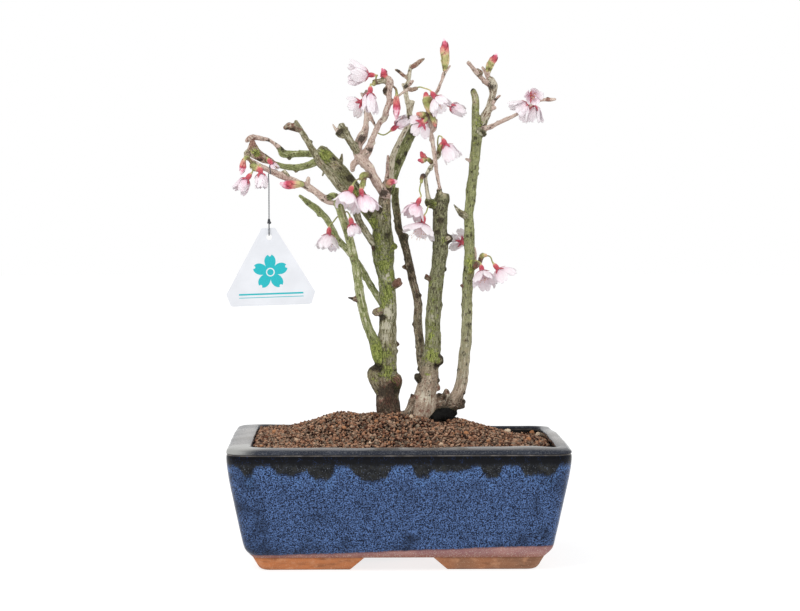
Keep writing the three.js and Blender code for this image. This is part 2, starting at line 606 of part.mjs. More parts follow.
// name: [eye u, v, depth], [direction right, up, back], petal length mm, lean of the tip in degrees
const BLOSSOMS = {
  petals_top_left: [[-32, 324.6, -21], [-1, 0.05, -0.1], 20, 10],
  petals_top_left_hanging: [[-30, 306, -30], [-0.08, -1, -0.15], 20, 0],
  petals_top_left_behind: [[-39.6, 297, 0], [-0.75, -0.55, 0.6], 13, 40],
  petals_small_middle: [[-3.6, 274, -8], [0.75, 0.62, -0.2], 14, 12],
  petals_crown_front: [[22, 277, -14], [-0.35, -0.1, -1], 13, 50],
  petals_crown_right: [[35, 302, -20], [0.55, -0.8, -0.3], 16, 15],
  petals_crown_far_right: [[51, 294, 3], [0.86, -0.5, 0.1], 16, 2],
  petals_crown_low: [[45.6, 255, -10], [0.45, -0.86, 0.05], 18, 12],
  petals_middle_upper: [[17, 196, -14], [-0.38, -0.9, -0.15], 17, 18],
  petals_middle_lower: [[22.4, 177, -17], [-0.24, -0.95, -0.2], 18, 40],
  petals_between_trunks: [[59, 159, 12], [-0.4, 0.1, 0.9], 12, 55],
  petals_heart_left: [[-50, 208, -37.5], [-0.36, -0.9, -0.2], 18, 13],
  petals_heart_right: [[-37.6, 203, -29], [0.36, -0.9, 0], 18, 20],
  petals_heart_low: [[-48, 176, -36], [0.25, -0.95, -0.1], 12, 12],
  petals_left_low: [[-73.6, 167, -14], [-0.1, -0.98, -0.15], 17, 15],
  petals_label_shoot_left: [[-149, 225, -46], [-0.5, -0.86, -0.1], 18, 4],
  petals_label_shoot_right: [[-138.6, 226, -47], [0.1, -0.98, -0.1], 14, 3],
  petals_limb_end: [[-127.6, 236, -2], [0.6, -0.78, -0.3], 8, 0],
  petals_right_front: [[131, 304, -38], [0.05, 0, -1], 8.5, 55],
  petals_right_left: [[126, 296, -29], [-0.72, -0.66, -0.1], 16, 15],
  petals_right_hanging: [[133, 294, -12], [-0.05, -0.98, 0.2], 17, 0],
  petals_low_right_cup: [[81, 130, -7], [0.3, -0.95, -0.15], 20, 10],
  petals_low_right_side: [[100, 130, -1], [0.42, -0.9, 0.1], 20, 10],
};

// Calyx, ending under the petals of the named blossom, on a thin stalk through [u, v, depth].
function calyx(name, ...route) {
  const [eye, direction] = BLOSSOMS[name];
  const out = new THREE.Vector3(direction[0], direction[2], direction[1]).normalize();
  const back = (distance) => gridPoint(eye).addScaledVector(out, -distance);
  return {
    path: [
      ...route.map((station) => [...station, 0.75]),
      [back(7.4), 0.9],
      [back(5.6), 1.7],
      [back(1.6), 1.9],
      [back(GAP), 2.5],
    ],
  };
}

function bud(path) {
  return { path };
}

// Each cluster is one grown piece: bud scales, stalks, calyces and closed buds.
const CLUSTERS = {
  stalks_top_left: [
    bud([[-21, 318, -20, 2.2], [-25.4, 317, -20, 2.4], [-26.5, 314.6, -21, 1.4]]),
    calyx('petals_top_left', [-24.4, 317.6, -20], [-23.6, 323, -20.4]),
    calyx('petals_top_left_hanging', [-25, 316.4, -21], [-25.6, 314, -26]),
  ],
  stalks_top_left_behind: [
    calyx('petals_top_left_behind', [-36.4, 303, -8], [-37, 302, -5.4]),
  ],
  stalks_small_middle: [
    calyx('petals_small_middle', [-24.4, 268, -14], [-17, 265, -12]),
  ],
  stalks_crown: [
    bud([[28.4, 290.4, -10.6, 1.5], [30.6, 289, -14, 3.6], [27, 299, -14, 4.2], [25.6, 306, -13, 2]]),
    bud([[30.6, 289, -14, 3], [33, 280, -14, 2], [35, 274, -13.6, 1.2]]),
    calyx('petals_crown_front', [28, 289, -13], [26.6, 284, -11]),
    calyx('petals_crown_right', [27, 303, -13], [30, 308, -16]),
    calyx('petals_crown_far_right', [28, 303, -12], [33, 305.6, -4], [39, 303.6, 0]),
    calyx('petals_crown_low', [34, 275, -13], [38, 272, -12.6]),
  ],
  stalk_middle_upper: [
    bud([[26, 223, -3, 1.4], [22.6, 225, -6, 1.5], [21, 218, -8, 1.5]]),
    calyx('petals_middle_upper', [21.4, 220, -8], [19.4, 210, -10]),
  ],
  stalk_middle_lower: [
    calyx('petals_middle_lower', [30, 195, -5], [28, 193.6, -12], [26, 188, -15]),
  ],
  stalk_between_trunks: [
    calyx('petals_between_trunks', [68, 160, 4], [66, 160, 6]),
  ],
  stalks_heart: [
    bud([[-28, 223, -8, 2.4], [-33, 223, -16, 3.2], [-38, 223.6, -21, 2.6]]),
    calyx('petals_heart_left', [-38, 223, -20], [-44, 219.6, -30]),
    calyx('petals_heart_right', [-37, 223, -20], [-40, 215, -27]),
  ],
  stalk_heart_low: [
    calyx('petals_heart_low', [-57, 186, -26], [-53, 188.6, -32]),
  ],
  stalk_left_low: [
    calyx('petals_left_low', [-57, 185, -25], [-63, 184.6, -19], [-69, 179, -15]),
  ],
  stalks_label_shoot: [
    bud([[-145, 237.6, -40, 2], [-146, 234, -44, 3], [-141, 231, -45, 3]]),
    calyx('petals_label_shoot_left', [-145, 233, -45], [-146, 231.6, -45.4]),
    calyx('petals_label_shoot_right', [-141, 231.6, -45], [-139.6, 233, -46]),
    bud([
      [-147, 235, -44, 1.2], [-151.6, 243, -46, 0.9], [-155, 240, -46, 1.6], [-156.4, 234, -46, 2.7],
      [-157, 229.6, -46, 2.2], [-158, 226, -46, 0.9],
    ]),
  ],
  stalk_limb_end: [
    calyx('petals_limb_end', [-131, 240, 6], [-132, 240, 0]),
  ],
  stalks_right: [
    bud([[126, 291.4, -18, 1.4], [128.6, 297, -18, 2.3]]),
    calyx('petals_right_front', [128.6, 297, -18], [130.6, 302.6, -25]),
    calyx('petals_right_left', [128.6, 298, -18], [132, 303, -24]),
    calyx('petals_right_hanging', [128.6, 297.6, -17.6], [131.6, 302.4, -16]),
  ],
  stalk_low_right_cup: [
    calyx('petals_low_right_cup', [72, 138, 2], [75.6, 140, -4]),
  ],
  stalk_low_right_side: [
    bud([[79.6, 137.6, 1.6, 1.8], [82.4, 146, 0, 1.8], [86, 146, -2, 1.3]]),
    calyx('petals_low_right_side', [84.4, 146, -1], [91, 143.6, -3]),
  ],
  bud_crimson: [
    bud([[-13, 321, -20, 2], [-15.6, 323.6, -20, 3], [-16.4, 327, -20, 3.1], [-18, 330.4, -20, 0.8]]),
  ],
  bud_hanging: [
    bud([
      [-9, 314, -20, 0.8], [-4.6, 311, -22, 0.8], [-3.4, 305, -22, 0.9], [-3.8, 301, -22, 2.2],
      [-3.4, 293, -22, 3], [-3.8, 285, -22, 2.3], [-4, 281, -22, 0.9],
    ]),
  ],
  bud_top: [
    bud([
      [44.5, 327, -14, 1.2], [44.6, 331.4, -14, 2], [45, 338, -14, 3.2], [44.2, 348, -14, 3.7],
      [44.6, 354, -14, 3], [43.4, 360, -14, 0.8],
    ]),
  ],
  bud_top_right: [
    bud([
      [88, 326, 19, 1.2], [88.6, 331.6, 19, 2.9], [91, 337.6, 18, 3], [94, 341.4, 17, 2.9],
      [96, 345.6, 16, 1],
    ]),
  ],
  buds_twin: [
    bud([
      [32, 236, -2, 1.4], [29.4, 240, -4, 1.8], [26, 241.6, -5, 1.3], [22.4, 244.6, -5, 2.6],
      [21, 247.6, -5, 1.4],
    ]),
    bud([[26.6, 241.4, -5, 1.3], [22.4, 239.8, -6, 2.5], [18.6, 240, -6, 1.3]]),
  ],
  bud_label_shoot: [
    bud([
      [-97, 215, -32, 1.4], [-99, 216, -38, 2.6], [-106, 215.6, -40, 3.3], [-113, 215.4, -41, 3.6],
      [-118.6, 216.6, -41, 1.4],
    ]),
  ],
  bud_trunk_top: [
    bud([[-12, 213, -3, 2], [-10, 218, -8, 2.8], [-4.4, 218.4, -8.4, 2]]),
  ],
};

// ---------------------------------------------------------------- label and its thread

const TAG_CORNERS = [
  [-6, 69.6], [6, 69.6], [40, 11], [36.4, 0.6], [34, 0], [-34, 0], [-36.4, 0.6], [-40, 11],
];
const TAG_HOLE = new THREE.Vector2(0.4, 61.4);
const TAG_HOLE_RADIUS = 2.6;
const TAG_TURN = 0.035;

function tagGeometry() {
  const outline = new THREE.Shape(TAG_CORNERS.map(([x, z]) => new THREE.Vector2(x, z)));
  const hole = new THREE.Path();
  hole.absarc(TAG_HOLE.x, TAG_HOLE.y, TAG_HOLE_RADIUS, 0, Math.PI * 2);
  outline.holes.push(hole);
  const plate = new THREE.ExtrudeGeometry(outline, {
    depth: TAG_THICKNESS, curveSegments: 12, bevelEnabled: false,
  });
  return plate.translate(-TAG_HOLE.x, -TAG_HOLE.y, -TAG_THICKNESS / 2).rotateX(Math.PI / 2);
}

// Where the thread crosses the shoot, and the middle of the label's hole below it.
const THREAD_TOP = gridPoint([-130.4, 229.9, -37.7]);
const SHOOT_RADIUS = 2.9;
const KNOT_HEIGHT = gridPoint([-130.4, 178, -41.6]).z;
const TAG_CENTRE = new THREE.Vector3(
  THREAD_TOP.x,
  THREAD_TOP.y - SHOOT_RADIUS - 1,
  gridPoint([-130.4, 163.3, -41.6]).z,
);

// The turn the thread makes round the shoot, from its loose end at the front to the underside.
function threadTurn() {
  const turnRadius = SHOOT_RADIUS + GAP + THREAD_RADIUS + 0.35;
  const points = [];
  for (let degrees = 330; degrees >= 0; degrees -= 47) {
    const angle = THREE.MathUtils.degToRad(degrees - 90);
    points.push(new THREE.Vector3(
      THREAD_TOP.x + 1.5 - (330 - degrees) * 0.006,
      THREAD_TOP.y + turnRadius * Math.cos(angle),
      THREAD_TOP.z + turnRadius * Math.sin(angle),
    ));
  }
  return points;
}

const HOLE_TOP = TAG_CENTRE.z + TAG_HOLE_RADIUS;

function threadGeometry() {
  const x = THREAD_TOP.x;
  const front = TAG_CENTRE.y;
  const low = HOLE_TOP - GAP - THREAD_RADIUS - 0.25;
  const points = [
    ...threadTurn(),
    new THREE.Vector3(x - 0.3, front + 0.9, THREAD_TOP.z - 6.5),
    new THREE.Vector3(x, front, THREAD_TOP.z - 12),
    new THREE.Vector3(x, front, THREAD_TOP.z - 24),
    new THREE.Vector3(x, front, KNOT_HEIGHT + 8),
    new THREE.Vector3(x, front - 0.4, KNOT_HEIGHT),
    new THREE.Vector3(x, front - 1.4, KNOT_HEIGHT - 5),
    new THREE.Vector3(x, front - 1.7, low + 3.4),
    new THREE.Vector3(x, front - 1.2, low + 0.5),
    new THREE.Vector3(x, front, low),
    new THREE.Vector3(x, front + 1.2, low + 0.5),
    new THREE.Vector3(x, front + 1.7, low + 3.4),
    new THREE.Vector3(x, front + 1.5, KNOT_HEIGHT - 5),
    new THREE.Vector3(x, front + 1, KNOT_HEIGHT - 0.6),
  ];
  const section = new THREE.Shape();
  section.absarc(0, 0, THREAD_RADIUS, 0, Math.PI * 2);
  return new THREE.ExtrudeGeometry(section, {
    steps: 44, curveSegments: 4, bevelEnabled: false, extrudePath: new THREE.CatmullRomCurve3(points),
  });
}

// ---------------------------------------------------------------- scene graph

const group = new THREE.Group();

function add(name, geometry, look, parent = group) {
  const mesh = new THREE.Mesh(geometry, look);
  mesh.name = name;
  parent.add(mesh);
  return mesh;
}

add('pot', toGeometry(potSolid), material(COLOURS.glaze, 0.15));
for (const [end, signY] of [['front', -1], ['back', 1]]) {
  for (const [side, signX] of [['left', -1], ['right', 1]]) {
    add(`foot_${end}_${side}`, toGeometry(footSolid(signX, signY)), material(COLOURS.clay, 0.8));
  }
}
add('soil', toGeometry(soilSolid), material(COLOURS.earth, 0.95));
add('tree_left', toGeometry(leftTree), material(COLOURS.bark, 0.85));
add('tree_right', toGeometry(rightTree), material(COLOURS.bark, 0.85));

for (const [side, x] of [['left', -DRAIN_X], ['right', DRAIN_X]]) {
  const screen = add(`drain_screen_${side}`, toGeometry(screenSolid()), material(COLOURS.mesh, 0.7));
  screen.position.set(x, 0, FLOOR_TOP + GAP + SCREEN_THICKNESS / 2);
  const clip = add(`drain_clip_${side}`, clipGeometry(), material(COLOURS.brass, 0.4, 1));
  clip.position.set(x, 0, 0);
}

const flowers = new THREE.Group();
group.add(flowers);
const outOfFlower = new THREE.Vector3(0, 0, 1);

for (const [name, [eye, direction, length, lean]] of Object.entries(BLOSSOMS)) {
  const petals = add(name, toGeometry(petalCup(length, lean)), material(COLOURS.petal, 0.6), flowers);
  const out = new THREE.Vector3(direction[0], direction[2], direction[1]).normalize();
  petals.position.copy(gridPoint(eye));
  petals.quaternion.setFromUnitVectors(outOfFlower, out);
}

for (const [name, parts] of Object.entries(CLUSTERS)) {
  const cluster = stems(parts).subtract(leftClearance).subtract(rightClearance);
  const colour = name.startsWith('bud') ? COLOURS.bud : COLOURS.calyx;
  add(name, toGeometry(cluster), material(colour, 0.6), flowers);
}

const label = add('tag', tagGeometry(), material(COLOURS.tag, 0.4));
label.position.copy(TAG_CENTRE);
label.rotation.y = -TAG_TURN;

add('tag_thread', threadGeometry(), material(COLOURS.thread, 0.8));

export default group;
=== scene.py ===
# %% [markdown]
# # A flowering cherry bonsai in its glazed pot
# The object is a clump of young cherry stems with moss on their bark, a few pale blossoms and buds,
# a mound of baked clay granules, a blue glazed pot on four bare clay feet, and a label on a thread.
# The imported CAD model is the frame: it gives every piece its place and size. Each cell below makes
# one piece around that frame. All lengths in Blender are metres, and the tables are in millimetres.

# %% Load the frame
import math

import bmesh
import bpy
import numpy as np
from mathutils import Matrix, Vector, kdtree


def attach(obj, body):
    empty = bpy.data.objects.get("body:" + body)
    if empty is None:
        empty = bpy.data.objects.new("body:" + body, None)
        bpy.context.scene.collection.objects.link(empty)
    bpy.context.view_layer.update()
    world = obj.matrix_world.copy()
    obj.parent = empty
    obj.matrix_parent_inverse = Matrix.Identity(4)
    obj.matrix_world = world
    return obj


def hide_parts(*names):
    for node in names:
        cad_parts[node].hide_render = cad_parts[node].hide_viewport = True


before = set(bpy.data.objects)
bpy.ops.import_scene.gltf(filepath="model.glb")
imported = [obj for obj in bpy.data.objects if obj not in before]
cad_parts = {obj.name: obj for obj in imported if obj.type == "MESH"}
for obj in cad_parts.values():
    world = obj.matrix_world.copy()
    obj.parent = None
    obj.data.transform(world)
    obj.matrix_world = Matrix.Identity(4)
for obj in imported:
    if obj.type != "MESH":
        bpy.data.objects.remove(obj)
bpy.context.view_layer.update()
MM = 0.001

# %% [markdown]
# ## Camera
# The camera stands about two metres in front of the pot, a little above the crown's middle, and
# looks slightly down. A long lens keeps the pot's sides nearly parallel. The aim is set by the
# camera's turn, with no lens shift, so that the same camera also frames the other sides.

# %% Camera
scene = bpy.context.scene
camera = bpy.data.objects.new("camera", bpy.data.cameras.new("camera"))
scene.collection.objects.link(camera)
scene.camera = camera
camera.location = (-0.0431, -2.0052, 0.3329)
camera.rotation_euler = (math.radians(90 - 2.932), 0, math.radians(-1.317))
camera.data.sensor_width = 36
camera.data.lens = 98.2
scene.view_settings.view_transform = "Standard"
print("camera at", tuple(camera.location))

# %% [markdown]
# ## Marks, lines and noise
# The plant is laid out on an upright sheet through the pot's middle, ruled in small squares. A mark
# is (u, v, depth): squares to the right, squares up, and millimetres behind the sheet, along the
# line from one eye point. A smooth line then runs through the marks, with its bends rounded the
# same way as in the CAD stems. The noise is a sum of random values on a lattice: it is the same
# every run, and it can be read at any point, which random numbers alone can't. Long tables are
# text, one row for each thing, because plain rows read more easily than nested brackets.

# %% Marks, lines and noise
SQUARE, AXIS, LEVEL = 0.92, 3.4, 142.8
EYE = np.array([-47.0, -2165.0, 342.4])


def marks(stations):
    """Points in metres for stations that start with u, v, depth."""
    u, v, depth = np.array([station[:3] for station in stations], float).T
    sheet = np.column_stack([(u + AXIS) * SQUARE, 0 * u, v * SQUARE + LEVEL])
    return (sheet + (sheet - EYE) * (-depth / EYE[1])[:, None]) * MM


def marks_of(points):
    """The u and v at which points in metres show on the sheet."""
    ray = points / MM - EYE
    sheet = EYE + ray * (-EYE[1] / ray[:, 1])[:, None]
    return sheet[:, 0] / SQUARE - AXIS, (sheet[:, 2] - LEVEL) / SQUARE


def smooth_line(points, steps):
    """Points of a smooth line through the given ones, with `steps` of them in each span."""
    points = np.asarray(points, float)
    whole = np.vstack([2 * points[0] - points[1], points, 2 * points[-1] - points[-2]])
    t = np.linspace(0, 1, steps, endpoint=False)[:, None]
    line = []
    for p0, p1, p2, p3 in zip(whole, whole[1:], whole[2:], whole[3:]):
        a, b, c = (max(np.linalg.norm(q - p), 1e-9) ** 0.5 for p, q in ((p0, p1), (p1, p2), (p2, p3)))
        start = ((p1 - p0) / a - (p2 - p0) / (a + b) + (p2 - p1) / b) * b
        end = ((p2 - p1) / b - (p3 - p1) / (b + c) + (p3 - p2) / c) * b
        line.append(p1 + start * t + (3 * (p2 - p1) - 2 * start - end) * t ** 2
                    + (2 * (p1 - p2) + start + end) * t ** 3)
    return np.vstack([*line, points[-1:]])


def unit(vectors):
    """Vectors of length one."""
    return vectors / np.linalg.norm(vectors, axis=-1, keepdims=True)


def reach_along(line):
    """How far along a line each of its points lies."""
    return np.concatenate([[0], np.cumsum(np.linalg.norm(np.diff(line, axis=0), axis=1))])


def at_reaches(line, count):
    """The line again with this many points, evenly spaced."""
    reach = reach_along(line)
    at = np.linspace(0, reach[-1], count)
    return np.column_stack([np.interp(at, reach, values) for values in line.T])


def levelled(values, reach):
    """Each value averaged with this many neighbours on either side."""
    width = 2 * reach + 1
    return np.convolve(np.pad(values, reach, mode="edge"), np.ones(width) / width, mode="valid")


def noise(points, size, seed=0):
    """Smooth noise from 0 to 1 at each point, with lumps of the given size."""
    place = np.asarray(points) / size
    cell = np.floor(place).astype(np.int64)
    part = place - cell
    part = part * part * (3 - 2 * part)
    total = np.zeros(len(place))
    for corner in range(8):
        step = np.array([corner & 1, corner >> 1 & 1, corner >> 2 & 1])
        key = (cell + step) @ np.array([73856093, 19349663, 83492791]) + seed * 40503
        key = (key ^ (key >> 15)) * 2246822519 & 0xFFFFFFFF
        key = (key ^ (key >> 13)) * 3266489917 & 0xFFFFFFFF
        share = np.prod(np.where(step, part, 1 - part), axis=1)
        total += share * ((key ^ (key >> 16)) & 0xFFFF) / 65535
    return total


def eased(value, low, high):
    """0 below low, 1 above high, and a soft rise between."""
    part = np.clip((value - low) / (high - low), 0, 1)
    return part * part * (3 - 2 * part)


def read_table(text):
    """Rows of a word and its groups of numbers. An indented line goes on with the row above."""
    rows = []
    for row in text.strip().replace("\n  ", " ").split("\n"):
        word, _, groups = row.partition(" ")
        rows.append((word, [tuple(map(float, group.split())) for group in groups.split(",") if group]))
    return rows


sample = noise(np.random.default_rng(1).uniform(-1, 1, (2000, 3)), 0.1)
print("noise from", round(sample.min(), 2), "to", round(sample.max(), 2))

# %% [markdown]
# ## Shapes and meshes
# Most of the plant is tubes: a round or lumpy ring carried along a line. A pile gathers the points
# and faces of many such shapes, each with values painted on its points, and turns them into one
# mesh. The painted values reach the finish later as attributes, which is how a finish knows where
# a petal's foot or a mossy patch is.

# %% Shapes and meshes
def frames(line):
    """For each point of a line: its direction and two directions across it, without twist."""
    along = np.gradient(line, axis=0)
    along /= np.linalg.norm(along, axis=1)[:, None] + 1e-12
    across = np.array([0.31, 0.94, 0.17])
    rows = []
    for direction in along:
        across = across - direction * (across @ direction)
        across /= np.linalg.norm(across)
        rows.append(across)
    rows = np.array(rows)
    return along, rows, np.cross(along, rows)


def grid_faces(rows, columns, closed=True):
    """Four-sided faces between neighbouring rows of points."""
    row, column = np.meshgrid(np.arange(rows - 1), np.arange(columns if closed else columns - 1),
                              indexing="ij")
    beside = (column + 1) % columns
    faces = [row * columns + column, row * columns + beside,
             (row + 1) * columns + beside, (row + 1) * columns + column]
    return np.stack(faces, axis=-1).reshape(-1, 4)


def border(rows, columns):
    """The numbers of the points round the edge of a grid."""
    number = np.arange(rows * columns).reshape(rows, columns)
    return np.concatenate([number[0, :-1], number[:-1, -1], number[-1, :0:-1], number[:0:-1, 0]])


def ring_turns(sides):
    """Angles round a ring."""
    return np.arange(sides) / sides * 2 * np.pi


def towards(first, second, turn):
    """The direction this far round from the first direction to the second."""
    return first * np.cos(turn) + second * np.sin(turn)


def tube(line, radius, sides=12):
    """A closed tube; radius is one number, one for each row, or one for each point of each row."""
    along, across, over = frames(line)
    radius = np.asarray(radius, float)
    radius = np.broadcast_to(radius if radius.ndim > 1 else radius.reshape(-1, 1), (len(line), sides))
    turn = ring_turns(sides)[:, None]
    rings = line[:, None] + towards(across[:, None], over[:, None], turn) * radius[..., None]
    points = np.vstack([rings.reshape(-1, 3), line[:1], line[-1:]])
    last, foot, tip = (len(line) - 1) * sides, len(line) * sides, len(line) * sides + 1
    ring = np.arange(sides)
    caps = np.vstack([np.column_stack([ring * 0 + foot, (ring + 1) % sides, ring]),
                      np.column_stack([ring * 0 + tip, last + ring, last + (ring + 1) % sides])])
    return points, [grid_faces(len(line), sides), caps]


def sheet(points, thickness):
    """A thin closed sheet from a grid of points (rows, columns, 3)."""
    rows, columns, _ = points.shape
    slope = np.cross(np.gradient(points, axis=0), np.gradient(points, axis=1))
    slope /= np.linalg.norm(slope, axis=2)[..., None] + 1e-15
    top, under = points + slope * thickness / 2, points - slope * thickness / 2
    edge = border(rows, columns)
    beside = np.roll(edge, -1)
    shift = rows * columns
    upper = grid_faces(rows, columns, closed=False)
    rim = np.column_stack([edge, beside, beside + shift, edge + shift])
    return np.vstack([top.reshape(-1, 3), under.reshape(-1, 3)]), [
        upper, upper[:, ::-1] + shift, rim[:, ::-1]]


class Pile:
    """Shapes on their way into one mesh, with values painted on their points."""

    def __init__(self, *shapes):
        self.points, self.faces, self.paints, self.count = [], [], {}, 0
        for shape in shapes:
            self.add(shape)

    def add(self, shape, **paints):
        points, groups = shape
        self.faces += [group + self.count for group in groups]
        self.points.append(points)
        for name, values in paints.items():
            width = np.shape(values)[1:]
            self.paints.setdefault(name, []).append(np.broadcast_to(values, (len(points), *width)))
        self.count += len(points)

    def mesh(self, name):
        mesh = bpy.data.meshes.new(name)
        faces = [face for group in self.faces for face in group.tolist()]
        mesh.from_pydata(np.vstack(self.points), [], faces)
        mesh.validate()
        for paint_name, values in self.paints.items():
            paint(mesh, paint_name, np.concatenate(values))
        return mesh


def paint(mesh, name, values):
    """Writes a value, or three, on each point of a mesh."""
    kind, field = ("FLOAT", "value") if values.ndim == 1 else ("FLOAT_VECTOR", "vector")
    attribute = mesh.attributes.new(name, kind, "POINT")
    attribute.data.foreach_set(field, np.ascontiguousarray(values, dtype=np.float32).ravel())


def put(name, data):
    """Puts an object made of this data in the scene."""
    made = bpy.data.objects.new(name, data)
    scene.collection.objects.link(made)
    return made


def piece(name, shapes, stands_for=()):
    """Puts a pile or a mesh in the scene as a piece that rides on the object's one body."""
    mesh = shapes.mesh(name) if isinstance(shapes, Pile) else shapes
    made = put(name, mesh)
    mesh.shade_smooth()
    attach(made, "root")
    if stands_for:
        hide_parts(*stands_for)
    return made


ring = tube(np.array([[0, 0, 0], [0, 0, 1.0]]), 1.0, 6)
print("a six-sided tube has", len(ring[0]), "points")

# %% [markdown]
# ## Thread of the label
# A dark twisted thread goes once round the tan shoot, hangs straight down, runs through the
# label's hole and back up to its knot, along the same points as its CAD solid. It is a limp cord of
# fixed length. Its tube has a section of two strands side by side that turns as it goes, which is
# how two strands laid together look. The knot is a small piece of its own: three tight loops with
# two cut ends.

# %% Thread of the label
SHOOT_RADIUS, GAP, THREAD_RADIUS, HOLE_RADIUS = 2.9, 0.3, 0.5, 2.6
thread_top, knot_mark, hole_mark = marks([(-130.4, 229.9, -37.7), (-130.4, 178, -41.6),
                                          (-130.4, 163.3, -41.6)]) / MM
knot_height = knot_mark[2]
tag_centre = np.array([thread_top[0], thread_top[1] - SHOOT_RADIUS - 1, hole_mark[2]])
turn_radius = SHOOT_RADIUS + GAP + THREAD_RADIUS + 0.35
low = tag_centre[2] + HOLE_RADIUS - GAP - THREAD_RADIUS - 0.25

thread_points = []
for degrees in range(330, -1, -47):
    angle = math.radians(degrees - 90)
    thread_points.append(thread_top + [1.5 - (330 - degrees) * 0.006, turn_radius * math.cos(angle),
                                       turn_radius * math.sin(angle)])
x, front = thread_top[0], tag_centre[1]
thread_points += [
    (x - 0.3, front + 0.9, thread_top[2] - 6.5), (x, front, thread_top[2] - 12),
    (x, front, thread_top[2] - 24), (x, front, knot_height + 8), (x, front - 0.4, knot_height),
    (x, front - 1.4, knot_height - 5), (x, front - 1.7, low + 3.4), (x, front - 1.2, low + 0.5),
    (x, front, low), (x, front + 1.2, low + 0.5), (x, front + 1.7, low + 3.4),
    (x, front + 1.5, knot_height - 5), (x, front + 1, knot_height - 0.6),
]
thread_line = smooth_line(np.array(thread_points) * MM, 6)
thread_length = float(reach_along(thread_line)[-1])
thread_line = at_reaches(thread_line, int(thread_length / (0.3 * MM)))
even = np.linspace(0, thread_length, len(thread_line))
strands = 0.8 + 0.2 * np.abs(np.cos(ring_turns(12) - even[:, None] / MM * 1.3))
thread_tube = tube(thread_line, strands * THREAD_RADIUS * MM, 12)
thread = piece("label_thread", Pile(thread_tube), ["tag_thread"])

turn = np.linspace(0, 2 * np.pi, 60)
knot_centre = np.array([x, front - 0.2, knot_height - 0.3])
loops = np.column_stack([(1.1 + 0.42 * np.cos(3 * turn)) * np.cos(2 * turn),
                         (1.1 + 0.42 * np.cos(3 * turn)) * np.sin(2 * turn) * 0.8,
                         0.75 * np.sin(3 * turn) + 0.3 * np.sin(turn)])
knot_pile = Pile(tube((knot_centre + loops) * MM, 0.46 * MM, 8))
for side in (-1, 1):
    cut_end = [(0.5 * side, -0.4, 0), (0.9 * side, -0.8, 1.0), (0.7 * side, -0.9, 2.4),
               (0.5 * side, -0.8, 3.4)]
    knot_pile.add(tube((knot_centre + smooth_line(cut_end, 4)) * MM, 0.42 * MM, 8))
knot = piece("thread_knot", knot_pile)
tuple(thread_line[0])
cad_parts["tag"]
print("thread", round(thread_length / MM, 1), "mm")

# %% [markdown]
# ## Writing finishes as sums
# A finish is a network of nodes, and drawing it by code soon gets hard to read. So a small class
# wraps one socket: adding, multiplying or subtracting two of them adds the Math node that does it,
# in either order, so `1 - mask` works. Colours go through Mix nodes instead, because Math turns a
# colour grey. Every other node comes from one method, which sets the node up and then fills in its
# sockets with numbers or links.

# %% Values of a finish
class Value:
    """A socket of a finish that can be used in sums."""

    def __init__(self, finish, socket):
        self.finish, self.socket = finish, socket

    def math(self, operation, *others):
        made = self.finish.node("ShaderNodeMath", {"operation": operation}, dict(enumerate(others)))
        return made["Value"]

    def __rsub__(self, other):
        return self.math("SUBTRACT", other, self)

    def between(self, low, high):
        """0 below low, 1 above high, and a soft rise between."""
        settings = {"interpolation_type": "SMOOTHSTEP"}
        return self.finish.node("ShaderNodeMapRange", settings,
                                {"Value": self, "From Min": low, "From Max": high})["Result"]


def sum_of(operation):
    """A method that adds the Math node of this operation."""
    return lambda value, *others: value.math(operation, value, *others)


for method, operation in {
        "__add__": "ADD", "__radd__": "ADD", "__mul__": "MULTIPLY", "__rmul__": "MULTIPLY",
        "__sub__": "SUBTRACT", "__truediv__": "DIVIDE", "__pow__": "POWER", "above": "MAXIMUM",
        "size": "ABSOLUTE", "sine": "SINE", "cosine": "COSINE", "angle_to": "ARCTAN2"}.items():
    setattr(Value, method, sum_of(operation))


class Node:
    """A node of a finish; its outputs are values, by name."""

    def __init__(self, finish, made):
        self.finish, self.made = finish, made

    def __getitem__(self, output):
        return Value(self.finish, self.made.outputs[output])


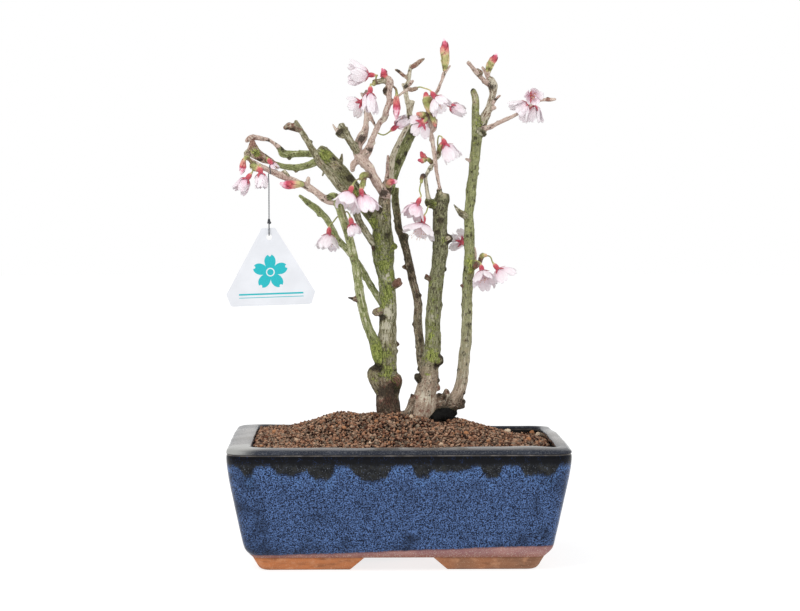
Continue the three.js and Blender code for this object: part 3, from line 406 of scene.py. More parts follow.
class Finish:
    """A material whose nodes are added by sums and by one method."""

    def __init__(self, name, **constants):
        self.material = bpy.data.materials.new(name)
        self.material.use_nodes = True
        self.tree = self.material.node_tree
        self.shader = self.tree.nodes["Principled BSDF"]
        for socket, value in constants.items():
            self.shader.inputs[socket.replace("_", " ")].default_value = value

    def node(self, kind, settings=None, sockets=None):
        made = self.tree.nodes.new(kind)
        for setting, value in (settings or {}).items():
            setattr(made, setting, value)
        for socket, value in (sockets or {}).items():
            if isinstance(value, Value):
                self.tree.links.new(value.socket, made.inputs[socket])
            else:
                made.inputs[socket].default_value = value
        return Node(self, made)

    def paint(self, name):
        """The value painted on the mesh under this name, or three of them as X, Y and Z."""
        return self.node("ShaderNodeAttribute", {"attribute_name": name})

    def split(self, vector):
        parts = self.node("ShaderNodeSeparateXYZ", {}, {"Vector": vector})
        return parts["X"], parts["Y"], parts["Z"]

    def place(self):
        return self.node("ShaderNodeTexCoord")["Object"]

    def grain(self, size, detail=2.0, vector=None, roughness=0.5):
        """Noise from 0 to 1 with features of about this size in millimetres."""
        sockets = {"Vector": vector or self.place(), "Scale": 1 / (size * MM), "Detail": detail,
                   "Roughness": roughness}
        return self.node("ShaderNodeTexNoise", {}, sockets)["Fac"]

    def stretch(self, vector, *scale):
        settings = {"operation": "MULTIPLY"}
        return self.node("ShaderNodeVectorMath", settings, {0: vector, 1: scale})["Vector"]

    def ramp(self, place, *stops):
        """A colour ramp read at this value; its stops are a place and a colour each."""
        ramp = self.node("ShaderNodeValToRGB", {}, {"Fac": place})
        known = ramp.made.color_ramp.elements
        for number, (at, colour) in enumerate(stops):
            stop = known[number] if number < 2 else known.new(at)
            stop.position, stop.color = at, shade(*colour)
        return ramp["Color"]

    def mix(self, mask, first, second):
        """The first colour where the mask is 0 and the second where it is 1."""
        settings = {"data_type": "RGBA", "clamp_factor": True}
        sockets = {0: mask, **{6 + index: shade(*colour) if isinstance(colour, tuple) else colour
                               for index, colour in enumerate((first, second))}}
        return Value(self, self.node("ShaderNodeMix", settings, sockets).made.outputs[2])

    def coat(self, colour, *layers):
        """Lays one colour after the other over the first, each where its mask is 1."""
        for mask, layer in layers:
            colour = self.mix(mask, colour, layer)
        return colour

    def bump(self, height, depth, normal=None):
        """A normal for relief of this depth in millimetres where height goes from 0 to 1."""
        sockets = {"Height": height, "Distance": depth * MM, "Strength": 1.0}
        if normal:
            sockets["Normal"] = normal
        return self.node("ShaderNodeBump", {}, sockets)["Normal"]

    def wear(self, **values):
        """Links what changes over the surface into the shader."""
        for socket, value in values.items():
            self.tree.links.new(value.socket, self.shader.inputs[socket.replace("_", " ")])
        return self.material


def shade(red, green, blue):
    """A colour given in screen values from 0 to 255, made ready for the shader."""
    screen = np.array([red, green, blue]) / 255
    linear = np.where(screen <= 0.04045, screen / 12.92, ((screen + 0.055) / 1.055) ** 2.4)
    return (*map(float, linear), 1.0)


print("mid grey is", round(shade(128, 128, 128)[0], 3), "in the shader")

# %% [markdown]
# ## Pot
# The pot is slab-built stoneware: walls that lean out, a lip that rolls outwards, rounded corners,
# and a bare foot. A lathe can't make a rectangle, so the body is lofted: one rounded rectangle for
# each height, joined into a skin. The hand-made look comes from slow waves of less than a
# millimetre in the walls and the lip. Two drain holes are cut through the floor with a Boolean.

# %% Pot body
HALF_LENGTH, HALF_DEPTH, CORNER = 152.0, 115.0, 18.0
OUTSIDE = [(22.4, 12), (21.4, 13), (20, 14.5), (17.8, 16.8), (15.9, 19.5), (14.5, 23.6), (13.2, 29.3),
           (11.2, 38.6), (9.4, 47.6), (7.7, 56), (5.8, 65.6), (3.9, 74.7), (2.2, 83.6), (1.5, 88),
           (0.9, 92.3), (0.4, 96.6), (0.1, 101), (0.2, 103.4), (0.9, 104.7), (0.4, 105.6), (0, 107),
           (0.5, 109), (2.6, 110.7), (5.8, 111.6), (10, 112.2), (14, 112.4), (16.2, 111.8),
           (17, 110.4)]
INSIDE = [(17, 110.4), (17.2, 107.5), (17.5, 102), (19, 65), (25, 30), (29, 23.5), (31, 22)]


def outline(inset, count):
    """Points in millimetres round a rectangle with rounded corners, evenly spaced."""
    half_x, half_y, corner = HALF_LENGTH - inset, HALF_DEPTH - inset, CORNER - inset * 0.35
    turn = np.linspace(0, np.pi / 2, 25)
    points = []
    for quarter, (sign_x, sign_y) in enumerate([(1, -1), (1, 1), (-1, 1), (-1, -1)]):
        angle = turn + (quarter - 1) * np.pi / 2
        points.append(np.column_stack([sign_x * (half_x - corner) + corner * np.cos(angle),
                                       sign_y * (half_y - corner) + corner * np.sin(angle)]))
    return at_reaches(np.vstack([*points, points[0][:1]]), count + 1)[:-1]


def dense(profile, pitch):
    """The profile with more points, at most `pitch` millimetres apart."""
    fine = smooth_line(profile, 12)
    return at_reaches(fine, int(reach_along(fine)[-1] / pitch) + 1)


def loft(profile):
    """Rounded rectangles for each inset and height, and their outward directions."""
    points = np.vstack([np.column_stack([outline(inset, AROUND), np.full(AROUND, height)])
                        for inset, height in profile])
    return points, unit(points * [1 / HALF_LENGTH ** 2, 1 / HALF_DEPTH ** 2, 0])


def fan(centre, start, reverse=False):
    """Triangles from one point to a ring of the loft."""
    ring = np.arange(AROUND)
    pair = [start + (ring + 1) % AROUND, start + ring]
    return np.column_stack([ring * 0 + centre, *(pair[::-1] if reverse else pair)])


AROUND, MOUTH_SHIFT = 360, 4.6
pot_profile = np.vstack([dense(OUTSIDE, 2.0)[:-1], dense(INSIDE, 3.5)])
pot_points, outward = loft(pot_profile)
height = pot_points[:, 2]
waves = (noise(pot_points, 55, 3) - 0.5) * 0.9 + (noise(pot_points, 16, 4) - 0.5) * 0.4
lip = eased(height, 101, 108)
pot_points += outward * (waves * eased(height, 13, 24))[:, None]
lip_waves = (noise(pot_points, 60, 5) - 0.5) * 1.5 + (noise(pot_points, 22, 6) - 0.5) * 0.8
pot_points[:, 2] += lip * lip_waves - 0.5 * lip
x, y, _ = pot_points.T
middle = 1 - np.clip(x / HALF_LENGTH, -1, 1) ** 2
sag = eased(y, 0, HALF_DEPTH) * (2.8 + 1.4 * middle + x / HALF_LENGTH * 1.2)
sag += eased(-y, 0, HALF_DEPTH) * 1.5 * middle * eased(height, 108, 112)
sag += 2.0 * eased(x, 108, 145) * eased(-y, 50, 108) * eased(height, 104, 112)
pot_points[:, 2] -= eased(height, 60, 108) * sag
turned_in = np.maximum.accumulate(eased(pot_profile[:, 1], 110.7, 112.3))
pot_points[:, 0] += MOUTH_SHIFT * np.repeat(turned_in, AROUND)
rows = len(pot_profile)

# How far round the pot a point is, in millimetres: 0 at the front's middle, growing to the right.
girth = float(np.linalg.norm(np.diff(outline(0, 2000), axis=0), axis=1).sum()) * 2000 / 1999
front_end = HALF_LENGTH - CORNER
round_at = np.tile(np.arange(AROUND) / AROUND * girth, rows)
round_at = np.where(round_at > girth / 2, round_at - girth, round_at) + front_end

# Where the dark top glaze has run down: [place round the pot, lowest height, half width]. The runs
# that can be seen from the front are listed, the others are drawn at random.
RUNS = [(-133.9, 87.1, 6.5), (-97.2, 87.1, 15), (-69.3, 83.6, 13), (-24.8, 81.7, 18), (19.7, 85.3, 9),
        (44, 90.9, 22), (80.8, 85.1, 10), (116.6, 87.6, 11), (129.7, 86.6, 10)]
random = np.random.default_rng(7)
FIRST_LAID, LAST_LAID, RUN_TOP = -160, 158.0, 96.6
at = LAST_LAID
while at < girth + FIRST_LAID:
    half_width = random.uniform(8, 19)
    RUNS.append((at + half_width, random.uniform(82, 92), half_width))
    at += half_width * random.uniform(1.7, 2.6)
run_edge = np.full(len(round_at), RUN_TOP)
for middle, lowest, half_width in RUNS:
    away = np.abs((round_at - middle + girth / 2) % girth - girth / 2) / half_width
    reach = np.clip(1 - away ** 2, 0, 1) ** 0.55
    run_edge = np.minimum(run_edge, RUN_TOP - (RUN_TOP - lowest) * reach)
bare_edge = 19 + 3.9 * np.sin(np.clip(round_at / 150, -1, 1) * 1.57)
bare_edge += (noise(pot_points, 40, 12) - 0.5) * 1.8
inner = (np.repeat(np.arange(rows), AROUND) > rows - len(dense(INSIDE, 3.5))).astype(float)
blotch = sum(np.exp(-((round_at - a) / wide) ** 2 - ((pot_points[:, 2] - z) / tall) ** 2)
             for a, z, wide, tall in [(124, 64, 3, 9), (9, 30, 7, 4)])
pot_glaze = np.column_stack([pot_points[:, 2] - run_edge, pot_points[:, 2] - bare_edge, blotch])
pot_place = np.column_stack([round_at, pot_points[:, 2], inner])
pot_shape = (np.vstack([pot_points, [(0, 0, 12), (0, 0, 22)]]) * MM,
             [grid_faces(rows, AROUND), fan(rows * AROUND, 0),
              fan(rows * AROUND + 1, (rows - 1) * AROUND, reverse=True)])
pot = piece("pot_body", Pile(pot_shape), ["pot"])


def cut(target, cutters):
    """Cuts closed meshes out of a piece and keeps only the result."""
    for cutter in cutters:
        change = target.modifiers.new("cut", "BOOLEAN")
        change.operation, change.solver, change.object = "DIFFERENCE", "EXACT", cutter
    graph = bpy.context.evaluated_depsgraph_get()
    result = bpy.data.meshes.new_from_object(target.evaluated_get(graph),
                                             preserve_all_data_layers=True, depsgraph=graph)
    target.modifiers.clear()
    target.data = result
    for cutter in cutters:
        bpy.data.objects.remove(cutter)
    result.shade_smooth()


def cutter(shape):
    return put("cutter", Pile(shape).mesh("cutter"))


DRAIN_X, DRAIN_RADIUS = 72, 11
cut(pot, [cutter(tube(np.array([(x, 0, 5), (x, 0, 30)]) * MM, DRAIN_RADIUS * MM, 48))
          for x in (-DRAIN_X, DRAIN_X)])
known = kdtree.KDTree(len(pot_points))
for number, point in enumerate(pot_points * MM):
    known.insert(point, number)
known.balance()
same = np.array([known.find(vertex.co)[1] for vertex in pot.data.vertices])
paint(pot.data, "glaze", pot_glaze[same])
paint(pot.data, "wall", pot_place[same])
print("pot", len(pot.data.polygons), "faces")

# %% [markdown]
# ## Feet
# Four corner feet are what is left of a ring under the floor after a wide trapezoid slot is cut
# through each side. They are bare clay. The ring is lofted like the pot, and its lower edges curve
# in, as a wet sponge leaves them.

# %% Feet
FOOT_TOP, RING_WIDTH = 12.0, 13.0


def slot_cutter(half_top, half_low, length, across):
    """A closed trapezoid bar that cuts the space between two feet."""
    low, high = -1.0, FOOT_TOP + 1.0
    corners = [(-half_low, low), (half_low, low), (half_top, high), (-half_top, high)]
    ends = [[(a, end, z) if across else (end, a, z) for a, z in corners] for end in (-length, length)]
    faces = np.array([(0, 1, 5, 4), (1, 2, 6, 5), (2, 3, 7, 6), (3, 0, 4, 7), (3, 2, 1, 0),
                      (4, 5, 6, 7)])
    return cutter((np.array(ends[0] + ends[1], float) * MM, [faces[:, ::-1] if across else faces]))


foot_rings = np.vstack([
    dense([(31.4, 0.0), (29.8, 0.6), (27.9, 2.4), (26.3, 5), (23.8, 9.7), (22.6, FOOT_TOP)], 2.0),
    dense([(24.5 + RING_WIDTH, FOOT_TOP), (30 + RING_WIDTH, 0.8), (31 + RING_WIDTH, 0)], 3.0)])
foot_points, outward = loft(foot_rings)
foot_points += outward * ((noise(foot_points, 30, 8) - 0.5) * 0.7)[:, None]
faces = grid_faces(len(foot_rings) + 1, AROUND) % (len(foot_rings) * AROUND)
feet = piece("pot_feet", Pile((foot_points * MM, [faces])),
             ["foot_front_left", "foot_front_right", "foot_back_left", "foot_back_right"])
cut(feet, [slot_cutter(29.4, 44.6, 130, True), slot_cutter(18, 29, 160, False)])
print("feet", len(feet.data.polygons), "faces")

# %% [markdown]
# ## Glaze
# Two glazes meet on this pot. A mottled blue covers the walls, and a black one, laid thicker on the
# rim, has run down over it in rounded tongues with a ragged, speckled edge. At the foot the glaze
# thins to a bare purplish band. The edges were painted on the mesh as heights above the run and
# above the bare band. The finish breaks those smooth heights up with two sizes of noise before it
# turns them into masks, so the edge looks melted and not drawn.

# %% Glaze
glaze = Finish("glazed_stoneware", IOR=1.5, Specular_IOR_Level=0.13)
above_run, above_bare, blotches = glaze.split(glaze.paint("glaze")["Vector"])
round_pot, wall_height, inside = glaze.split(glaze.paint("wall")["Vector"])
fine, specks = glaze.grain(1.15, 2.0, roughness=0.6), glaze.grain(0.8, 0.0)
patches, clouds = glaze.grain(6, 3.0), glaze.grain(21, 2.0)
mottle = (fine * 0.7 + specks * 0.3).between(0.41, 0.63)
# This darkening mask holds the glaze's own clouds and blotches, plus painted shade towards both front
# corners, more on the left, and towards the foot of the wall.
clouds_and_edge_shade = (clouds - 0.5) * 2.1 + (patches - 0.5) * 0.6 + blotches * 0.8
clouds_and_edge_shade = clouds_and_edge_shade + (round_pot + 122).between(6, -16) * 0.5 + (round_pot - 122).between(-6, 12) * 0.3
clouds_and_edge_shade = clouds_and_edge_shade + wall_height.between(34, 18) * 0.35
bright = above_run.between(-16, -3) * patches.between(0.4, 0.6) * mottle * 0.65
blue = glaze.coat(glaze.mix(mottle, (7, 16, 38), (86, 114, 164)),
                  (clouds_and_edge_shade.between(0.0, 0.9) * 0.75, (17, 27, 46)), (bright, (96, 134, 190)))
run = (above_run + (patches - 0.5) * 10 + (fine - 0.5) * 13).between(-1.2, 1.2)
tongue = glaze.coat(
    glaze.mix(patches.between(0.35, 0.7), (11, 13, 18), (40, 40, 36)),
    (fine.between(0.5, 0.66) * 0.35, (52, 56, 64)),
    (wall_height.between(95, 99.5), (4, 5, 11)),
    (specks.between(0.6, 0.7) * patches.between(0.45, 0.6) * 0.6, (32, 46, 78)),
    (specks.between(0.72, 0.8) * run * 0.5 * (1 - wall_height.between(94, 98)), (150, 156, 166)))
# A thin pale line along the lip's lower edge: a painted highlight, where the glaze also thins.
lip_edge_highlight = wall_height.between(104.2, 104.7) * (1 - wall_height.between(105.0, 105.7))
lip_top = wall_height.between(105.4, 106.4)
# The lip is painted lighter towards its top, partly pale glaze breaking on the edge and partly a painted
# highlight, and lighter still at its left end: a painted reflection of the bright room. Its darker patches
# are the glaze's own.
rim = glaze.coat(
    glaze.mix(wall_height.between(108.6, 112.2), (36, 40, 50), (132, 128, 124)),
    (glaze.grain(24, 3.0).between(0.45, 0.8) * 0.4, (70, 74, 84)),
    (fine.between(0.5, 0.64) * 0.12, (180, 180, 180)),
    ((round_pot + 139).between(16, -8) * (round_pot + 190).between(0, 20) * 0.75, (172, 172, 168)))
thin = above_bare + (patches - 0.5) * 1.6 + (fine - 0.5) * 0.8
bare = 1 - thin.between(-0.35, 0.35)
wash = glaze.coat(
    glaze.mix(clouds.between(0.3, 0.7), (138, 98, 98), (164, 122, 116)),
    ((1 - wall_height.between(12.3, 17)) * 0.6, (128, 78, 54)),
    (specks.between(0.62, 0.7) * 0.5, (205, 190, 180)))
skin = glaze.coat(
    blue, (run, tongue),
    (lip_edge_highlight * (0.2 + glaze.grain(9, 2.0).between(0.4, 0.7) * 0.3), (150, 142, 134)),
    (lip_top, rim), (inside, (24, 22, 22)), (bare, wash),
    (thin.between(-1.6, -0.2) * bare * 0.7, (84, 60, 66)))
gloss = 0.2 - lip_top * 0.06 + (patches - 0.45).above(0) * 0.25 * (1 - lip_top) + bare * 0.5
orange_peel = glaze.bump(glaze.grain(5, 2.0), 0.25)
pot.data.materials.append(glaze.wear(
    Base_Color=skin, Roughness=gloss, Normal=glaze.bump(fine, 0.05, orange_peel)))
print("glaze has", len(glaze.tree.nodes), "nodes")

# %% [markdown]
# ## Bare clay
# The feet are the same clay without glaze: warm orange-brown where the flame reached it and greyer
# where it didn't, with sandy specks and rubbed edges. They are darker at the very bottom, where the
# pot stands.

# %% Bare clay
clay = Finish("bare_clay", Specular_IOR_Level=0.3)
clay_x, _, clay_height = clay.split(clay.place())
flame, sand = clay.grain(45, 2.0), clay.grain(0.7, 2.0)
scuff = clay.grain(6, 4.0, clay.stretch(clay.place(), 0.4, 0.4, 1.6))
fired = clay.coat(
    clay.mix((flame - 0.5 + clay_x * 2.4).between(-0.3, 0.35), (184, 114, 70), (138, 98, 74)),
    (scuff.between(0.45, 0.75) * 0.6, (96, 62, 44)),
    (clay.grain(9, 2.0).between(0.52, 0.7) * 0.4, (205, 150, 112)),
    (sand.between(0.62, 0.7) * 0.5, (215, 190, 160)),
    ((1 - clay_height.between(0.0, 0.0016)) * 0.6, (92, 66, 50)))
feet.data.materials.append(clay.wear(
    Base_Color=fired, Roughness=0.7 + scuff * 0.25,
    Normal=clay.bump(sand, 0.12, clay.bump(scuff, 0.3))))
print("clay has", len(clay.tree.nodes), "nodes")

# %% [markdown]
# ## Soil
# The soil is not earth but baked clay granules of two to four millimetres, heaped into a low mound.
# Each granule is a real lump here, because the eye reads the mound's outline and the dark gaps
# between lumps. A rough bed lies below them, painted near-black as the shade in those gaps. A
# granule starts as a small cube whose faces are cut in four and pushed out to a ball, which gives
# a rounded lump from few faces. It is then stretched, dented and turned at random. Finer crumbs
# fill the gaps.

# %% Soil bed
SOIL_EDGE = 105.4
# Mounds and hollows of the soil: [rise, middle x, middle y, reach in x, reach in y].
SOIL_HEAPS = [(26, 8, 0, 95, 68), (-9, 41, -12, 11.5, 12), (2.5, 58, -8, 8, 9), (7.5, -56, -6, 24, 40),
              (2.5, -90, 10, 20, 40), (-1.5, -33, 5, 8, 30), (-5.5, 112, 62, 34, 34)]


def soil_height(x, y):
    """Height of the soil in millimetres at a place on the pot."""
    heaps = sum(rise * np.exp(-((x - middle_x) / reach_x) ** 2 - ((y - middle_y) / reach_y) ** 2)
                for rise, middle_x, middle_y, reach_x, reach_y in SOIL_HEAPS)
    return SOIL_EDGE - x * 0.02 + heaps - eased(x, 60, 110)


SOIL_HALF_X, SOIL_HALF_Y = 133.6, 96.6
BED, BED_FLOOR, BED_TAPER = (110, 80), 45, 0.93
bed_x, bed_y = np.meshgrid(np.linspace(-1, 1, BED[0]), np.linspace(-1, 1, BED[1]), indexing="ij")
bed = np.stack([bed_x * SOIL_HALF_X + MOUTH_SHIFT, bed_y * SOIL_HALF_Y, 0 * bed_x], axis=-1)
bed = bed.reshape(-1, 3)
bed[:, 2] = soil_height(bed[:, 0], bed[:, 1]) - 3.4 + (noise(bed, 3.5, 20) - 0.5) * 2.4
low_bed = bed.copy()
low_bed[:, 2] = BED_FLOOR
low_bed[:, :2] *= BED_TAPER
edge = border(*BED)
low_of = np.arange(len(edge)) + len(bed)
rim = np.column_stack([edge, np.roll(edge, -1), np.roll(low_of, -1), low_of])
bed_shape = (np.vstack([bed, low_bed[edge]]) * MM,
             [grid_faces(*BED, closed=False), rim[:, ::-1], low_of[None, :]])
soil_bed = piece("soil_bed", Pile(bed_shape), ["soil"])
print("soil bed", len(soil_bed.data.polygons), "faces, top at", round(bed[:, 2].max(), 1), "mm")

# %% Granules
def lump_shape(cells):
    """Points and faces of a cube whose sides have cells x cells squares, pushed out to a ball."""
    bm = bmesh.new()
    bmesh.ops.create_cube(bm, size=2)
    if cells > 1:
        bmesh.ops.subdivide_edges(bm, edges=bm.edges[:], cuts=cells - 1, use_grid_fill=True)
    points = np.array([vertex.co[:] for vertex in bm.verts])
    faces = np.array([[vertex.index for vertex in face.verts] for face in bm.faces])
    bm.free()
    points /= np.linalg.norm(points, axis=1)[:, None] ** 0.82
    return points, faces


def random_turns(random, count):
    """Random rotations as 3 x 3 matrices."""
    w, x, y, z = unit(random.normal(size=(count, 4))).T
    return np.stack([1 - 2 * (y * y + z * z), 2 * (x * y - w * z), 2 * (x * z + w * y),
                     2 * (x * y + w * z), 1 - 2 * (x * x + z * z), 2 * (y * z - w * x),
                     2 * (x * z - w * y), 2 * (y * z + w * x), 1 - 2 * (x * x + y * y)],
                    axis=-1).reshape(count, 3, 3)


def scatter(random, pitch, jitter):
    """Places over the whole soil, in a loose honeycomb."""
    x, y = np.meshgrid(np.arange(-SOIL_HALF_X, SOIL_HALF_X, pitch),
                       np.arange(-SOIL_HALF_Y, SOIL_HALF_Y, pitch * 0.866), indexing="ij")
    x = x + (np.arange(x.shape[1]) % 2) * pitch / 2
    places = np.column_stack([x.ravel(), y.ravel()])
    places += random.uniform(-jitter, jitter, places.shape) * pitch
    inside = (np.abs(places[:, 0]) < SOIL_HALF_X - 0.8) & (np.abs(places[:, 1]) < SOIL_HALF_Y - 0.8)
    corner = np.maximum(np.abs(places) - [SOIL_HALF_X - 17, SOIL_HALF_Y - 17], 0)
    return places[inside & (np.linalg.norm(corner, axis=1) < 16.5)] + [MOUTH_SHIFT, 0]


def granules(random, shape, centres, sizes, tints, pile):
    """Adds one lump at each centre: stretched, dented and turned at random."""
    points, faces = shape
    count = len(centres)
    stretch = random.uniform(0.74, 1.26, (count, 1, 3))
    dents = 1 + random.uniform(-0.2, 0.16, (count, len(points), 1))
    lumps = points[None] * stretch * dents * sizes[:, None, None] * 0.5
    lumps = np.einsum("nij,npj->npi", random_turns(random, count), lumps)
    tints = np.repeat(tints[:, None], len(points), axis=1)
    # Each lump is painted lighter on its top and darker underneath: painted light and shade.
    tints[:, :, 0] = np.clip(tints[:, :, 0] + lumps[:, :, 2] / sizes[:, None] * 0.55 - 0.04, 0, 1)
    lumps = lumps + centres[:, None]
    all_faces = faces + np.arange(count)[:, None, None] * len(points)
    pile.add((lumps.reshape(-1, 3) * MM, [all_faces.reshape(-1, faces.shape[1])]),
             tint=tints.reshape(-1, 3))


random = np.random.default_rng(11)
lump, crumb = lump_shape(2), lump_shape(1)
places = scatter(random, 2.75, 0.34)
sizes = random.choice([1.9, 2.35, 2.8, 3.5], len(places), p=[0.32, 0.38, 0.23, 0.07])
sizes *= random.uniform(0.85, 1.15, len(places))
heights = soil_height(*places.T) - 0.4 + random.uniform(-1.1, 0.9, len(places))
centres = np.column_stack([places, heights])
tints = np.column_stack([random.uniform(0, 1, len(places)), random.uniform(0, 0.6, len(places)) ** 2,
                         (random.uniform(0, 1, len(places)) < 0.012) * 0.8])

# A few pale pebbles and orange granules lie where they catch the eye: [u, v, size, pale, orange].
PEBBLES = np.array([
    (108, -32, 6.2, 1, 0), (139.4, -37, 5.4, 1, 0.1), (133, -34, 5.0, 0.3, 1), (129, -41, 4.4, 0.2, 1),
    (10, -10, 4.2, 0.7, 0), (11, -18, 4.4, 0.8, 0), (19, -13.5, 6.4, 1, 0), (-56, -29, 4, 0.2, 0.9),
    (-126, -33, 4.4, 0.3, 0.9), (-75, -19, 3.2, 0.9, 0.3), (-104, -41, 3, 0.9, 0.4), (41, -46, 3.4, 0.8, 0.2),
    (-30, -44, 3, 0.9, 0.2), (66, -35, 3.6, 0.2, 1), (-2, -33, 3.6, 0.2, 0.8), (88, -43, 3.2, 0.2, 0.8)])


def on_soil(u, v):
    """Where the line of sight through a mark first meets the soil."""
    depths = np.arange(-SOIL_HALF_Y + 3, SOIL_HALF_Y - 3, 0.5)
    x, y, z = marks([(u, v, depth) for depth in depths]).T / MM
    clear = z - soil_height(x, y)
    met = np.argmax(clear <= 0) if (clear <= 0).any() else np.argmin(clear)
    return x[met], y[met], soil_height(x[met], y[met])


piles = {"front": (-200, -30, Pile()), "middle": (-30, 30, Pile()), "back": (30, 200, Pile())}


def spread(shape, centres, sizes, tints):
    """Adds granules to the pile of the part of the soil they lie on."""
    for low, high, pile in piles.values():
        here = (centres[:, 1] >= low) & (centres[:, 1] < high)
        granules(random, shape, centres[here], sizes[here], tints[here], pile)


spread(lump, centres, sizes, tints)
pebble_places = np.array([on_soil(u, v) for u, v, *_ in PEBBLES]) + [0, 0, 1.2]
spread(lump_shape(3), pebble_places, PEBBLES[:, 2], np.insert(PEBBLES[:, 3:], 0, 0.8, axis=1))
places = scatter(random, 4.4, 0.5)
centres = np.column_stack([places, soil_height(*places.T) + random.uniform(-0.5, 1.5, len(places))])
tints = np.column_stack([random.uniform(0.1, 1, len(places)), random.uniform(0, 0.7, len(places)) ** 2,
                         0 * places[:, 0]])
sizes = random.uniform(0.9, 2.1, len(places))
spread(crumb, centres, sizes, tints)
granule_pieces = [piece("soil_granules_" + name, pile)
                  for name, (_, _, pile) in piles.items()]
print("granules", sum(len(made.data.polygons) for made in granule_pieces), "faces")

# %% [markdown]
# ## Baked clay
# Every granule has its own shade of brown, painted on it when it was made, plus a few pale or
# orange ones. Each is also painted lighter on its top and darker underneath: painted light and
# shade. The finish adds pores and dust.

# %% Baked clay
baked = Finish("baked_clay_granules", Specular_IOR_Level=0.25)
lightness_and_shading, pale, orange = baked.split(baked.paint("tint")["Vector"])
pores = baked.grain(0.9, 3.0)
brown = baked.coat(
    baked.ramp(lightness_and_shading, (0.0, (24, 9, 4)), (0.32, (58, 29, 18)), (0.68, (112, 72, 52)),
               (1.0, (164, 120, 92))),
    (pale, (216, 196, 170)), (orange, (176, 124, 86)), (pores.between(0.56, 0.72) * 0.5, (44, 24, 16)))
baked.wear(Base_Color=brown, Roughness=0.8 + pores * 0.2, Normal=baked.bump(pores, 0.25))
for made in granule_pieces:
    made.data.materials.append(baked.material)

# The bed under the granules is painted near-black: painted shade in the gaps between them.
bed_finish = Finish("soil_bed", Specular_IOR_Level=0.2)
dark = bed_finish.grain(2.5, 3.0)
gap_shade_colour = bed_finish.mix(dark.between(0.35, 0.7), (10, 5, 3), (38, 22, 15))
soil_bed.data.materials.append(bed_finish.wear(
    Base_Color=gap_shade_colour, Roughness=0.85 + dark * 0.15, Normal=bed_finish.bump(dark, 0.6)))
